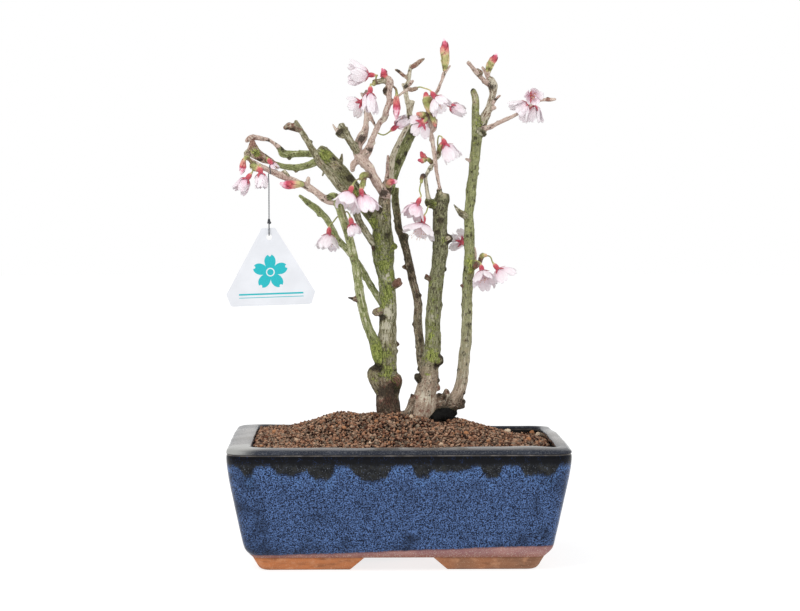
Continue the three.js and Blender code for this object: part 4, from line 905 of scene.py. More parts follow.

# %% [markdown]
# ## Stems of the two clumps
# The trunks, limbs and shoots were laid out as stems. Each row is a kind of growth and its
# stations: u, v, depth and the stem's radius there in millimetres. A kind that ends with "!" was
# sawn off, so its end is flat. The kinds set the bark's colours later.

# %% Stems
LEFT_STEMS = read_table("""
thick -12 -34 0 9.5, -12 -11 0 10.6, -12.3 2 0 9.8, -12.6 14 0 10.3, -12.5 30 0 9.2, -12.5 55 0 8.7,
  -12.5 80 0 8.2, -12.2 99 0 7.6, -13.5 120 0 7.9, -16 138 0 8.7, -17 154 0 10.6, -18 173 0 8.3,
  -15.5 194 0 6, -14.6 208 0 5.2, -13 217 1 4.6
burl -16 27 1 6.5, -26 28 -1 6.2, -25 20 -1.5 6, -19 9 -1 5.4
burl -11 20 -2 6.5, -4.6 20.5 -4 6, -5.6 11 -3 5.4, -7 2 -2 5
stub! -16 90 0 4.8, -22 88.6 -6 4.2, -24.6 88 -10 3.6
knob -11 115 -2 4.6, -3.4 117 -3 4, -1 121 -3 2.2
knob -20 152 -2 4, -26.5 153 -4 2.6
knob -12 58 2 4, -2.2 56 0 1.8
lime -16 33 0 6, -22 46 -3 6, -26 60 -6 4.6, -31 70 -9 4.3, -39 100 -14 4.1, -42 120 -17 3.9,
  -45 138 -20 3.8, -49.5 156 -22 3.7, -56 180 -25 3.7, -62 196 -27 4, -66.5 203 -27 4.8, -71 201.5 -27 4
grey! -64 199 -27 4, -60.5 205 -26 3.6
knob -40 100.5 -14 2.6, -45.5 101.5 -16 2.2, -51.5 103 -18 0.8
tan -66 199 -27 3.6, -72 199.5 -27.4 3.5, -88 211 -30 3.2, -103.5 218.6 -33 3, -115 223 -35 3.2,
  -126.4 228 -37 2.6, -138 233.4 -39 2.3, -149.4 240 -41 1.9, -154 241.4 -41.6 1.4
tan -92 213 -31 1.8, -91.6 220 -30 2.3, -91.3 223 -29 1.4
grey! -112 224 -35 2.4, -116 230 -34 1.7
lime -16 94 2 3.6, -29 114.5 8 3.2, -40 134 14 3.1, -51 148.5 19 3.1, -62 161 23 3, -73 181 28 2.9,
  -82 190.6 31 3.3, -92 198 34 2.8, -100 204.6 36 1.6
limb! -18 166 1 6, -27 184 2 6.6, -37.4 198.4 4 6.8, -48 213.8 7 6.9, -58.4 227 10 7, -68.4 238.4 13 7.2,
  -78 247.6 16 7, -82 250 17 5.2
grey -59 236 10 2, -58.6 241.6 9 1.7, -57.8 246.6 9 1
grey -77 233 13 1.8, -76 228.6 12 1.5, -77.6 224.6 12 0.9
grey -20 151 0 3.2, -27 157 -4 3.2, -34 168 -7 3.2, -41 180 -10 3.2, -46 194 -13 3.3, -53 207 -16 3.4,
  -61 214 -19 3.4, -70 226 -22 3.4, -80.5 238 -26 3.3, -86 248 -28 3, -92 258 -30 2.8, -99 270 -32 2.6,
  -104 278.6 -34 1.4
knob -99 270 -32 2.4, -105 271.8 -33 3.1, -110.6 273.4 -34 3.5, -114.4 272 -34 2.2
lime -80 247 17 3.8, -88 246.6 19 3.6, -98 246.6 22 3.2, -110 246 25 3.1, -117 247 26 3.8,
  -119.6 251 26 2.8
tan -118 249 26 2.6, -120.6 252.4 26 2.4, -126.5 257.5 27 1.7, -132 260.5 27 1.6, -138 261.5 27 2.4,
  -145 262.6 27 2.6, -150 261.5 27 3.2, -153 259 27 1.8
limb -110 246 25 2.8, -110.4 241.6 25 1.8
lime -77 240 14 4, -84 238.4 13 3.6, -92 235 12 3.3, -100 233 11 3.2, -115 234 9 2.9, -125 236.5 8 2.3,
  -130 239.4 7 3.2
bract -127 238 7.4 2.6, -131 240 7 3.4, -138 243 6 4.6, -145 248 6 5.6, -147 254 6 4.6, -147 258 6 2.6
grey -103 233 11 2.6, -104 228.6 11 1.6
grey -143 246 6 4, -152 247 6 3.4, -154 242.6 6 1.8
tan -13 203 -1 4, -17 208 -4 4.5, -25.4 222 -7 4.4, -32 233.6 -8 4.4, -39 241.4 -8 4.6, -42.6 247 -8 4,
  -42 255 -8 3.9, -38 263 -8 5.2, -35 269 -8 3.4, -34 276 -8 2.5, -33.5 290 -8 2.3, -34 301 -8 2.3,
  -33.6 308.6 -8 1.7
tan -34.5 298 -8 1.8, -38.4 306.6 -8 1.2
tan -41 241 -8 3.4, -46.6 236 -8.5 2.9, -47.4 229.6 -9 1.9
grey! -42 246 -8 3.4, -48 256 -14 3.5, -53.5 265.6 -19 3.7, -59 275.6 -24 3.1
grey -56 270 -21 3.2, -60.6 266 -23 3.2, -57 262.6 -21 1.8
tan -60 267 -23 1.9, -64 270.6 -24 1.4, -67 275.4 -25 0.7
tan -31 287.6 -8 1.5, -28.6 281.6 -10 2.2, -24.6 273.4 -11 0.8
tan -38 240 -7 3.6, -32.4 248.6 -8 4.6, -28.8 258 -11 2.7, -24.5 268.4 -14 2.5, -19.5 278 -16 2.4,
  -15.6 281.6 -17 3.2, -13.6 289.4 -18 2.6, -11 299 -19 2.4, -11.4 308.6 -20 2.6, -10.6 316 -20 3.9,
  -12 321.4 -20 2.8
grey -11 318 -20 2.8, -17 318.6 -20 2.8, -23 317.4 -20 2.2
knob -13 312 -21 2, -16 309 -22 1.9, -15 305 -22 0.8
pale -13 212 3 4.2, -10.6 224 5 4, -9 238 8 3.2, -5 250 11 2.6, 2 264.5 14 2.4, 8 276 17 2.4,
  9 289 19 2.6, 7 299 20 2.2, 5.4 308 21 2.3, 6 312.6 21 2.5, 8.2 319 22 1.9, 9.5 328.6 23 1.9,
  10.8 334.4 23 1.5
pale! 9 285 19 2.2, 12.4 299.6 21 2.3
bract 10 332.6 23 1.4, 13.4 333.6 23 2.3, 20 338.6 22 2.3, 24 341 21 1.1
bract 8 321 22 1.4, 3 324.6 23 1.9, -2 328.8 24 1.6, -5 330 24 0.7
tan 7 313 21 1.6, 13 319 20 1.4
pale 5.6 310 21 1.8, 2.4 315.8 22 1.5
tan -9 295.6 -19 1.7, -6 299.6 -18 1.5, -2 303.6 -16 1.3, 4 308 -12 1.4, 9.6 311.4 -9 1.7
bract 7.6 310.6 -10 1.6, 11 309.8 -9 2.2, 17 311.4 -9 1.7
dark! -11 208 5 4.6, -7.6 223 14 4.7, 3 250 28 4.7, 13.6 270 38 4.7, 21 283 44 4.6
twig -13.6 214 -3 2.2, -12.8 228 -5 1.9, -12.2 244.6 -6 1.2
""")
# The two hollow stems are a dark root mass under the right clump's foot, painted near-black by the bark
# finish as the shade in the hollow there.
RIGHT_STEMS = read_table("""
fleck! 20 -34 -2 10.4, 20.6 -15 -2 11.4, 23 -5 -2 12.4, 25 5 -2 10.4, 28.6 18 -2 8.8, 29.6 32 -2 8.3,
  32.4 55 -2 7.4, 33 80 -2 7.3, 34.4 102 -2 6.7, 37 125 -2 6.5, 39.2 141 -2 6.9, 40.2 154 -2 7.2,
  40 176 -2 6.5, 40.4 192 -2 6.8, 41.8 203 -2 6.9, 42.4 207.4 -2 6.2
foot 20 -4 -3 8, 14 0 -6 4.4, 11 -8 -8 4.6, 5 -20 -9 4.4
knot 28 20 -3 5, 18 21.6 -4 3.2, 16.6 25.6 -4 1.8
knot 33 40 -3 5, 38.6 39 -6 4.6, 40.4 43 -6 2.6
moss 35 196 -3 5, 29.6 197 -4 4.4, 27 199 -4 3
knot! 42 160 -3 5.2, 48.6 162 -3.4 4.4, 51.4 164 -3.4 2.4
knob 35 122 -2 3.6, 28.4 122 -4 2.4, 26 125.4 -4 1.4
brown! 26 24 1 5, 21.6 40 5 4.6, 19.6 56 9 4.2, 18 76 13 4.1, 17.4 100 16 3.8, 13 119 18 3.7,
  10.4 131 19 3.7, 6 150 21 3.7, 2.6 163 22 3.8, -1.4 172 23 3.5, -3 186 24 3.5, -5 201 25 3.5,
  -4.6 213 26 3.2
brown 3.6 158 22 3.2, 6 165 21 2.7
knob 16 103 16 2.8, 20.6 105.4 15 1.5
knob 7 133 20 2.6, 3 133.6 18 1.4
tan 40.4 203 -3 2.4, 40 210 -5 1.7, 37 224 -7 1.7, 34.4 243 -9 2, 32 260 -9 2.1, 29.6 273 -9 2.1,
  28.6 284 -9 2.3, 28.4 294 -9 2.4, 32 302 -9 1.8, 37 308.6 -10 1.5, 41 318 -12 1.5, 44 327 -14 1.9,
  44.6 329 -14 1.4
tan 44 326 -14 1.5, 50 334 -14 0.9
tan 31 269 -9 2, 33.6 271 -10 2.6, 35 280 -10 1.8
pale 30 197 -4 3, 28 203 -4 2.2, 26.2 214 -3.4 1.8, 25.6 224 -3 1.9, 28 229 -2.6 1.9, 31.8 235 -2 2,
  34.6 241 -1 2, 38.4 246 0 2.9, 38.6 249.4 0 2
foot 28 -6 0 8, 44 -3 4 7.4, 53 -3.6 5 7.2, 59.6 -4.6 6 4.6, 63 -6.6 6.6 2.4
hollow 48 -7 6 7, 46 -20 7 8.4, 46 -34 8 7
hollow 31 -19 -6 5, 38 -14.6 -1 7, 48 -12.6 3 6.6, 54 -12.6 5 3.6
foot 44 -2 1 5, 46 6 -2 3.6, 46.4 10 -2 1.8
slim 50 -6 5 6.6, 56 2 4 6.2, 60.4 15 4 5.6, 63 30 4 5.5, 65.6 55 4 5.1, 67 80 4 5, 67 100 4 4.9,
  67.6 120 4 5.2, 69.6 135 4 5.5, 69.3 150 4 5, 69.2 170 4 4.8, 68.6 185 4 4.3, 70 200 4 4.6,
  72 220 4 4.6, 75.5 250 4 4.8, 77 269 4 5.2, 75.2 284 4 3.7, 74.8 302 4 3.4, 72.6 309 4 2.6
fork 78 266 4 4.6, 83.6 281 7 4.6, 88 290 10 3.4, 91 300 13 3.2, 92.4 307 15 3.4, 92.6 315 16 4.9,
  91 321 16 2.6
tan 91 314 16 2.8, 86 317 13 2.3, 77.5 326 6 2.3, 67.6 337 -2 1.9
knob 78 325 6.4 2.2, 80.6 326.4 6 2.2, 77 331 4 0.9
tan 90 317 17 2.4, 86.6 325 20 2.1, 82 332.6 23 1.5
tan 88 320 18 2, 88 328.6 19 1.7
tan 90 294 11 2, 96 301 9 1.3, 99.6 304.4 8 1.4
tan 90 291 10 2.4, 95 292.4 9 1.6
fork 79 269 2 4.4, 84 266 1 2.8
tan 80 271 3 3, 87.4 272.3 0 2.2, 102 279 -7 1.9, 116.8 285.8 -14 1.8, 126 291.4 -18 1.6,
  135.8 298 -21 1.4, 143 300 -23 1.5, 148.4 300 -24 2.1, 154.6 300.4 -25 1.1
tan 138 298.6 -22 1.2, 139.4 304 -22 0.9
grey 67 184 3 3.6, 60.6 187.4 1 2.7, 57 191.4 0 1.9, 53.4 196 0 0.8
knob 66 115 3 3, 61 115 2 1.2
knob 70 134 3 4, 76 134.8 2 2.8, 80.2 139 1 2.2
tan 74 136 3 1.6, 75.6 144 3 1.3, 74.8 152.6 3 0.8
tan 71 239 3 1.8, 65 241.6 2 0.8
""")

print(len(LEFT_STEMS), "stems on the left,", len(RIGHT_STEMS), "on the right")

# %% [markdown]
# ## Knots, old buds and patches
# Bark looks alive through what sits on it: sleeping buds, healed cuts, burls and patches of moss.
# Each one here is a mark with the size of its patch, what it is painted with, and, for a knob, how
# far it stands out.

# %% Knots and patches
def read_spots(text):
    """Spots as [u, v, size, paint, how far it stands out]."""
    spots = []
    for spot in text.split(","):
        u, v, size, name, *stands = spot.split()
        spots.append((float(u), float(v), float(size), name, float(stands[0]) if stands else 0))
    return spots


PAINTS = ("green", "tan", "pale", "moss", "dark", "red", "smooth")
LEFT_SPOTS = read_spots("""
-1 117 4 red 3.4, 0 120 2.4 pale, -7 126 4 moss, -20 92 6 moss, -3 56 2 dark 1.7, -3.5 49.5 2.2 dark 1.8,
-26 153 3.4 dark 2.2, -6.5 154 4 moss 3, -17 207 5 dark, -11 211 4 dark 2.4, -23 88.6 4 tan,
-20 82.5 4.5 dark, -16 84 3.5 dark, -27 24 6 green, -25 34 5 dark, -20 33 4 dark, -4 17 6.5 red 3.4,
-3 21 6 red, -8 11 5 dark, -3 10.5 4 dark, -18 9 3.5 dark, -12 1 4 red, -19 1 3 pale, -12 112 6 moss,
-22 163 5 moss, -14 122 4 pale, -12 26 6 moss, -14 47 6 moss, -12 125 3 pale, -13 88 5 pale,
-13 75 4 pale, -15 62 3 pale, -16 98 5 moss, -11 105 5 moss, -16 136 6 moss, -15 186 5 moss,
-24 44 6 moss, -24 54 5 moss, -50 101.5 2.2 dark, -72 203 4.5 dark 2.6, -60 205 3 green,
-38 92 1.6 dark 1.2, -55 170 2.2 dark 1.6, -46 140 2 dark 1.3, -125 228 2 dark 1.6,
-119 223.5 1.8 dark 1.5, -94 213 3 dark 1.8, -91.5 219.5 3 green, -106 219 1.8 dark 1.4,
-84 206 2 dark 1.6, -92 197 1.8 dark 1.2, -82 185 2.4 moss 1.8, -61 158 2 moss 1.6, -48 144 2 dark 1.4,
-76 246 6 moss, -75 247 7 moss, -71.4 242.4 6 moss, -69 242 3.6 red 2, -66 241 2.6 dark, -65 235 5 tan,
-80 237 3 tan 1.8, -60 232 3 dark 1.6, -50 222 4 dark, -44 208 5 moss, -36 196 5 moss,
-30 186 4 dark 1.6, -27 178 6 moss, -40 214 3 dark 1.8, -117 251.5 3 dark, -110.5 245 2.4 dark 1.6,
-91.5 247 3 dark 1.8, -100 249 1.8 red 1.6, -88 259 2 dark 1.6, -107 270.6 2.6 dark 1.4,
-110.4 274.6 3 pale, -112.6 271 2.4 dark 1.6, -115 272.4 2 pale, -149 262 5 red 2.6,
-146 256.6 4 red 2.8, -138 261.6 4 green 2, -132 259 2.6 dark, -143.6 248.4 5 moss, -143.6 248.4 5 moss,
-139.5 242 3 red 2, -133.6 243 4 green, -147.6 255.4 3 pale, -152 246 4 tan, -140 240.6 3 dark,
-38 262 4 dark, -36.4 266 3 pale, -41 258 4 dark 2.2, -35 266 3 dark 2, -37.5 303.5 2 tan,
-26.5 278 4 dark 1.4, -26 257 2.4 pale 1.6, -16 281 3.6 pale, -14 285 3 dark 2.6, -16 309 3 dark,
-12 318 5 tan 2.6, -17 321 3 dark 1.6, -9 310 3 dark 1.8, -59 268.6 3.4 dark, -61 272.6 2.4 pale 1.4,
-63 266 3 dark 1.6, -33 247 5 moss 2.4, -30 250 4 dark, -8 211 5 moss, -14 221 3.5 moss 1.8,
-2 253 2 dark 1.4, 9 283 2.6 dark, 6 313 3 dark, 13 333 3.4 red 2, -2 329 2.4 dark, 6 246 3 dark,
12 268 3 dark, -2 238 3.4 dark, -20 190 3 dark, -12 166 3 dark 1.6
""")
RIGHT_SPOTS = read_spots("""
0 174 2 dark 1.7, 11 132 2.6 dark 1.9, 10 122 2.4 dark 1.6, 18.5 105.5 3 dark 2, 13 76 2.2 dark 1.7,
20 60 2 dark 1.3, 21 44 2 dark, 3 164 2.4 dark 1.6, -3 196 2 dark 1.3, 39 209.5 4 dark 2.4,
45 206 3.4 tan, 41 207.6 3.4 tan, 28.5 196 6 dark 2.8, 50 162 5.6 dark, 48.4 162.4 3 tan,
48.4 162.4 3 pale, 44 160 4 moss, 32 45 7 moss, 38 39.5 4.6 moss 3, 41 36 2.6 dark, 35.4 35 2.6 dark,
41 43 2.4 dark 1.2, 17 23 4.4 dark 2.6, 18.6 31 2.6 dark 1.6, 14 3 4 red 2.4, 11 6 2.6 dark 1.8,
38.5 12 3.6 red 2.6, 39 5 3.4 dark 2.4, 38 20 3 dark 2, 27 4 7 pale, 22 -10 2.2 red, 27 -11.6 2.2 red,
40 -9 4 dark 2.6, 47 -9.6 4 dark 2.2, 54 -9 3 dark 2.2, 60.4 -8 3 dark 1.8, 24 122 2.4 dark 1.6,
30 118 3.4 moss, 33 84 4 pale, 31 64 4 moss, 28 26 4 moss, 46 131 2.4 dark 2, 45 96 1.8 dark 1.4,
68 140 5 moss, 70 130 4 moss, 65.6 131 3.4 dark 2, 71 133 4 moss, 69 128 3.4 red 2, 76 133.6 2.4 red,
68.5 76 2 dark 1.7, 64 46.5 2 dark 1.5, 61 96 1.6 dark 1.2, 69 88 1.8 dark 1.3, 66 60 1.8 dark 1.3,
58 30 2 dark 1.5, 60.5 186 3 dark 1.6, 56 192 2.4 pale, 71 310 3 dark, 74 305 3.4 pale, 74 298 4 tan,
74 306 4 tan, 91.5 315 5 dark, 93 317 4 pale 1.6, 95 301 2.2 dark, 97 303 2.4 red 1.2, 86 279 2.6 moss,
82 274 3 dark, 82.6 268 3.4 dark 1.6, 84 264.6 2.4 dark 1.4, 80 276 4 moss, 75 262 3 dark 1.4,
66 0 4 dark 2.2, 60 1 4 dark 2, 46.6 8 2.6 red 1.4, 48.6 4 3 pale 2, 44.4 4 2.4 dark 1.6,
64 7 3 dark 1.6, 148 300 3 red, 147 303 2 dark 1.2, 117 286 2.2 dark 1.4, 90 273 2.4 dark 1.3,
28 284 3 dark 1.8, 28.5 293 2.6 dark 1.8, 31 262 2 dark 1.3, 36 274 2.6 dark, 38 248 4 dark 2,
27 226 2.4 dark 1.2, 78 256 2 dark 1.2, 74 214 2 dark 1.3, 71 165 2 dark 1.3, 80.5 226 1.6 dark 1,
40 180 2.2 dark, 37 168 2.2 dark
""")

# How much of each paint a kind of growth carries, in the order of PAINTS: one amount, or pairs of
# a height mark and the amount there.
# The hollow kind's smooth paint of 1.2 marks it for the near-black painted shade.
GROWTH = dict(read_table("""
thick -10 0 30 0.35 60 0.45 110 0.6 185 0.5 217 0.35,
  -10 0.8 12 0.7 30 0.35 60 0.4 95 0.3 115 0.1 170 0.2 195 0.5 217 0.7,
  20 0.15 45 0.3 60 0.4 98 0.42 120 0.4 150 0.3,
  14 0.1 26 0.45 45 0.35 60 0.2 90 0.28 118 0.4 150 0.45 180 0.3 200 0.16,
  -10 0.6 10 0.6 22 0.4 35 0.25 90 0.22 130 0.3 165 0.35 215 0.38, -10 0.5 14 0.45 28 0, 0
burl 0.35, 0.5, 0.2, 0.35, 0.4, 0.1, 0
stub 0.3, 0.6, 0.2, 0.3, 0.4, 0.1, 0
knob 0.15, 0.6, 0.25, 0.15, 0.34, 0.5, 0
lime 30 0.9 200 0.8, 0.1, 40 0.15 80 0.4 200 0.3, 30 0.6 60 0.4 80 0.15 200 0.2, 0.15, 0, 0.4
limb 0.5, 0.3, 0.25, 165 0.5 215 0.3 250 0.2, 0.3, 0.05, 0
grey 0.4, 0.35, 0.35, 0.12, 0.2, 0, 0
tan 0.05, 1.2, 0.3, 0.03, 0.1, 0.15, 0.35
bract 0.4, 1, 0.2, 0.2, 0.15, 0.4, 0.3
pale 0.5, 0.5, 0.6, 0.1, 0.12, 0.05, 0.5
moss 0.6, 0.15, 0.3, 0.5, 0.25, 0, 0
dark 0.75, 0.1, 0.3, 0.2, 210 0.2 250 0.25 270 0.5 285 0.7, 0, 0
twig 0, 1.1, 0.2, 0.1, 0.4, 0.2, 0
fleck 0 0 15 0.25 30 0.36 60 0.5 190 0.4, -5 1 25 0.7 50 0.25 100 0.12,
  -5 0.36 20 0.36 50 0.28 100 0.22 165 0.12 200 0.1, 15 0.1 40 0.4 120 0.34 160 0.25 200 0.25,
  -5 0.15 25 0.38 60 0.42 130 0.42 170 0.42 200 0.5, -5 0.25 20 0.15 30 0,
  0 0.5 30 0.35 60 0.4 200 0.2
knot 0.2, 0.4, 0.2, 0.2, 0.7, 0, 0
brown 20 0.5 100 0.5 140 0.25 180 0.3 205 0.7, 20 0.5 120 0.6 200 0.3, 20 0.4 110 0.35 200 0.1,
  20 0 140 0.05 200 0.25, 20 0.45 100 0.4 160 0.55 205 0.35, 0.12, 0
slim 0 0 40 0.35 110 0.6 190 0.7 260 0.6, 0 0.85 30 0.45 70 0.25 200 0.15 300 0.25,
  0 0.35 60 0.35 120 0.25 250 0.1, 70 0.1 130 0.3 200 0.25 270 0.35,
  0 0.2 60 0.32 150 0.37 220 0.32 270 0.18, 0.02, 10 0.5 40 0.7 150 0.55 260 0.35
fork 266 0.6 285 0.25, 266 0.2 285 0.8 320 0.6, 0.5, 266 0.35 290 0.1, 0.2, 0.05, 0
hollow 0, 0, 0, 1, 1, 0, 1.2
foot 0.05, 0.85, 0.4, 0.15, 0.45, 0.25, 0
"""))
print(len(LEFT_SPOTS) + len(RIGHT_SPOTS), "knots and patches")

# %% [markdown]
# ## Skin of a clump
# Each stem becomes a lumpy tube, and the knobs are added as dented balls. They all overlap, so a
# voxel remesh melts them into one closed skin with soft crotches, as a growing tree has. The skin
# is smoothed a little to take the voxel steps away. Then every point looks up its nearest stem:
# that gives it a place along and around that stem, for bark that runs with the wood, and the
# paints of that kind of growth. Last, fine relief pushes the points out or in.

# %% Tubes and knobs
def wood_tube(random, stations, sawn):
    """A lumpy closed tube through the stations, and its middle line with the radius there."""
    line = smooth_line(marks(stations), 7)
    share = np.linspace(0, len(stations) - 1, len(line))
    radius = np.interp(share, np.arange(len(stations)), [station[3] for station in stations]) * MM
    radius = levelled(np.maximum(radius, 0.95 * MM), 3)
    length = reach_along(line)
    nodes = np.arange(random.uniform(4, 12), length[-1] / MM, random.uniform(11, 17)) * MM
    thin = np.clip(1 - (radius - 2 * MM) / (4 * MM), 0, 1)
    swelling = sum((np.exp(-((length - node) / (1.3 * MM)) ** 2) for node in nodes), 0 * length)
    sides = 20
    around = ring_turns(sides)
    seat = np.column_stack([np.tile([np.cos(around) * 2.2, np.sin(around) * 2.2], len(line)).T,
                            np.repeat(length / MM / 7 + random.uniform(0, 90), sides)])
    lumps = (noise(seat, 1.0, 31).reshape(len(line), sides) - 0.5) * 0.26
    radius_all = (radius * (1 + 0.14 * thin * swelling))[:, None] * (1 + lumps)
    tip = unit(line[-1] - line[-2]) * radius[-1]
    if not sawn:
        line = np.vstack([line, line[-1] + tip * 0.45, line[-1] + tip * 0.75])
        radius_all = np.vstack([radius_all, radius_all[-1:] * 0.75, radius_all[-1:] * 0.35])
    return tube(line, radius_all, sides), line[:len(radius)], radius


def knob_shape(random, centre, size):
    points, faces = lump_shape(4)
    shape = points * size * MM * random.uniform(0.8, 1.15, 3)
    dents = noise(points * 2 + random.uniform(0, 50), 1.0, 5)
    dents += noise(points * 4.6 + random.uniform(0, 50), 1.0, 6) * 0.7
    shape *= 1 + (dents - 0.85)[:, None] * 0.5
    return shape + centre, [faces]


BUDS_ABOVE = 0.14


class Clump:
    """All stems of one clump as middle lines, with what is needed to look up the nearest one."""

    def __init__(self, stems, spots, seed):
        self.random = np.random.default_rng(seed)
        self.pile, self.lines = Pile(), []
        for kind, stations in stems:
            shape, line, radius = wood_tube(self.random, stations, kind.endswith("!"))
            self.pile.add(shape)
            along, across, over = frames(line)
            start = self.random.uniform(0, 1)
            reach = reach_along(line) + start
            self.lines.append((kind.rstrip("!"), line, radius, across, over, reach))
        self.spots = []
        for u, v, size, paint_name, stands in spots:
            centre = self.on_front(u, v)
            self.spots.append((centre, size * 0.85 * MM, paint_name, 0.45 if stands else 0.85))
            if stands:
                self.pile.add(knob_shape(self.random, centre, stands))
                self.spots.append((centre, stands * 1.1 * MM, "red", 0.22))
        for _, line, radius, across, over, _ in self.lines:
            self.sleeping_buds(line, radius, across, over)

    def on_front(self, u, v):
        """The point of the bark that shows at a mark."""
        best = None
        for _, line, radius, _, _, _ in self.lines:
            line_u, line_v = marks_of(line)
            away = np.hypot(line_u - u, line_v - v) * SQUARE * MM
            nearest = np.argmin(away - radius)
            gap = max(away[nearest] - radius[nearest], 0) - 0.03 * (radius[nearest] - line[nearest, 1])
            if best is None or gap < best[0]:
                front = math.sqrt(max(radius[nearest] ** 2 - away[nearest] ** 2, 0))
                best = (gap, line[nearest, 1] - 0.9 * front, line[nearest], radius[nearest])
        ray = marks([(u, v, 0), (u, v, 50)])
        point = ray[0] + (ray[1] - ray[0]) * (best[1] - ray[0, 1]) / (ray[1, 1] - ray[0, 1])
        middle, thick = best[2:]
        reach = np.linalg.norm(point - middle)
        return middle + (point - middle) * min(1, thick / reach)

    def sleeping_buds(self, line, radius, across, over):
        """Small dark buds at every side of a stem."""
        for _ in range(int(reach_along(line)[-1] / MM / 30)):
            row = self.random.integers(0, len(line))
            angle = self.random.uniform(0, 2 * np.pi)
            out = towards(across[row], over[row], angle)
            size = self.random.uniform(0.8, 1.3)
            centre = line[row] + out * (radius[row] - 0.1 * MM)
            if line[row, 2] > BUDS_ABOVE:
                self.pile.add(knob_shape(self.random, centre, size))
                self.spots.append((centre, size * MM, "dark", 0.6))

    def bark_at(self, points):
        """For each point: its place in the bark (x, y and length along the stem) and its paints."""
        nearest = np.full(len(points), np.inf)
        grain, paints = np.zeros((len(points), 3)), np.zeros((len(points), len(PAINTS)))
        _, height = marks_of(points)
        for kind, line, radius, across, over, reach in self.lines:
            low, high = line.min(0) - 0.014, line.max(0) + 0.014
            close = np.flatnonzero(((points > low) & (points < high)).all(axis=1))
            if not len(close):
                continue
            away = np.linalg.norm(points[close, None] - line[None], axis=2) - radius
            row = away.argmin(axis=1)
            gap = away[np.arange(len(close)), row]
            better = gap < nearest[close]
            close, row = close[better], row[better]
            nearest[close] = gap[better]
            offset = points[close] - line[row]
            grain[close] = np.column_stack([(offset * across[row]).sum(1), (offset * over[row]).sum(1),
                                            reach[row]])
            for column, amount in enumerate(GROWTH[kind]):
                paints[close, column] = (np.interp(height[close], amount[::2], amount[1::2])
                                         if len(amount) > 1 else amount[0])
        most = np.maximum(paints, 1)
        for centre, size, name, amount in self.spots:
            reach = np.linalg.norm(points - centre, axis=1) / size
            there = np.exp(-reach ** 2)
            paints[:, PAINTS.index(name)] += there * (amount if name in ("dark", "red") else 0.35)
            if name in ("moss", "pale", "tan", "green"):
                paints[:, PAINTS.index("dark")] *= 1 - 0.8 * there
        return grain, np.clip(paints, 0, most)


left_clump, right_clump = Clump(LEFT_STEMS, LEFT_SPOTS, 3), Clump(RIGHT_STEMS, RIGHT_SPOTS, 4)
print(left_clump.pile.count + right_clump.pile.count, "points in all tubes and knobs")

# %% Remeshed skins
def read_field(items, field, width, kind=float):
    """One field of all vertices or edges as an array with a row for each."""
    values = np.empty(len(items) * width, kind)
    items.foreach_get(field, values)
    return values.reshape(-1, width)


def soften(mesh, rounds, strength=0.5):
    """Moves every point towards the middle of its neighbours."""
    points = read_field(mesh.vertices, "co", 3)
    a, b = read_field(mesh.edges, "vertices", 2, int).T
    count = np.bincount(a, minlength=len(points)) + np.bincount(b, minlength=len(points))
    for _ in range(rounds):
        total = np.column_stack([np.bincount(a, points[b, axis], len(points))
                                 + np.bincount(b, points[a, axis], len(points)) for axis in range(3)])
        points = points + (total / count[:, None] - points) * strength
    mesh.vertices.foreach_set("co", points.ravel())
    mesh.update()
    return points


def remeshed(name, pile, voxel):
    """One closed skin round everything in the pile."""
    rough = put(name, pile.mesh(name + "_rough"))
    change = rough.modifiers.new("melt", "REMESH")
    change.mode, change.voxel_size = "VOXEL", voxel * MM
    graph = bpy.context.evaluated_depsgraph_get()
    skin = bpy.data.meshes.new_from_object(rough.evaluated_get(graph))
    bpy.data.objects.remove(rough)
    skin.name = name
    return skin


def grow(name, clump, stands_for, voxel):
    skin = remeshed(name, clump.pile, voxel)
    points = soften(skin, 2)
    grain, paints = clump.bark_at(points)
    normals = read_field(skin.vertex_normals, "vector", 3)
    streaks = noise(grain / MM * [1, 1, 0.28], 1.6, 41) - 0.5
    lumps = noise(points, 0.0035, 42) - 0.5
    moss = np.clip(paints[:, PAINTS.index("moss")], 0, 1)
    dark = np.clip(paints[:, PAINTS.index("dark")], 0, 1)
    fuzz = noise(points, 0.0017, 43) - 0.42
    relief = 0.34 * streaks + 0.4 * lumps + (0.5 * moss + 0.4 * dark) * fuzz
    points = points + normals * (relief * MM)[:, None]
    skin.vertices.foreach_set("co", points.ravel())
    skin.update()
    paint(skin, "grain", grain)
    paint(skin, "tint", paints[:, :3])
    paint(skin, "cover", paints[:, 3:6])
    paint(skin, "smooth", paints[:, 6])
    return piece(name, skin, [stands_for])


trunks_left = grow("stems_left_clump", left_clump, "tree_left", 0.9)
trunks_right = grow("stems_right_clump", right_clump, "tree_right", 0.9)
print("skins have", len(trunks_left.data.polygons), "and", len(trunks_right.data.polygons), "faces")

# %% [markdown]
# ## Bark
# The paints only say how much of the bark is tan, pale, mossy or dark. The finish compares each of
# them with a noise of its own, so a half-mossy stretch becomes moss in half of its patches, with
# crisp edges, as lichen and moss really spread. Streaks run along the wood, because that noise is
# read in the stem's own directions and stretched.

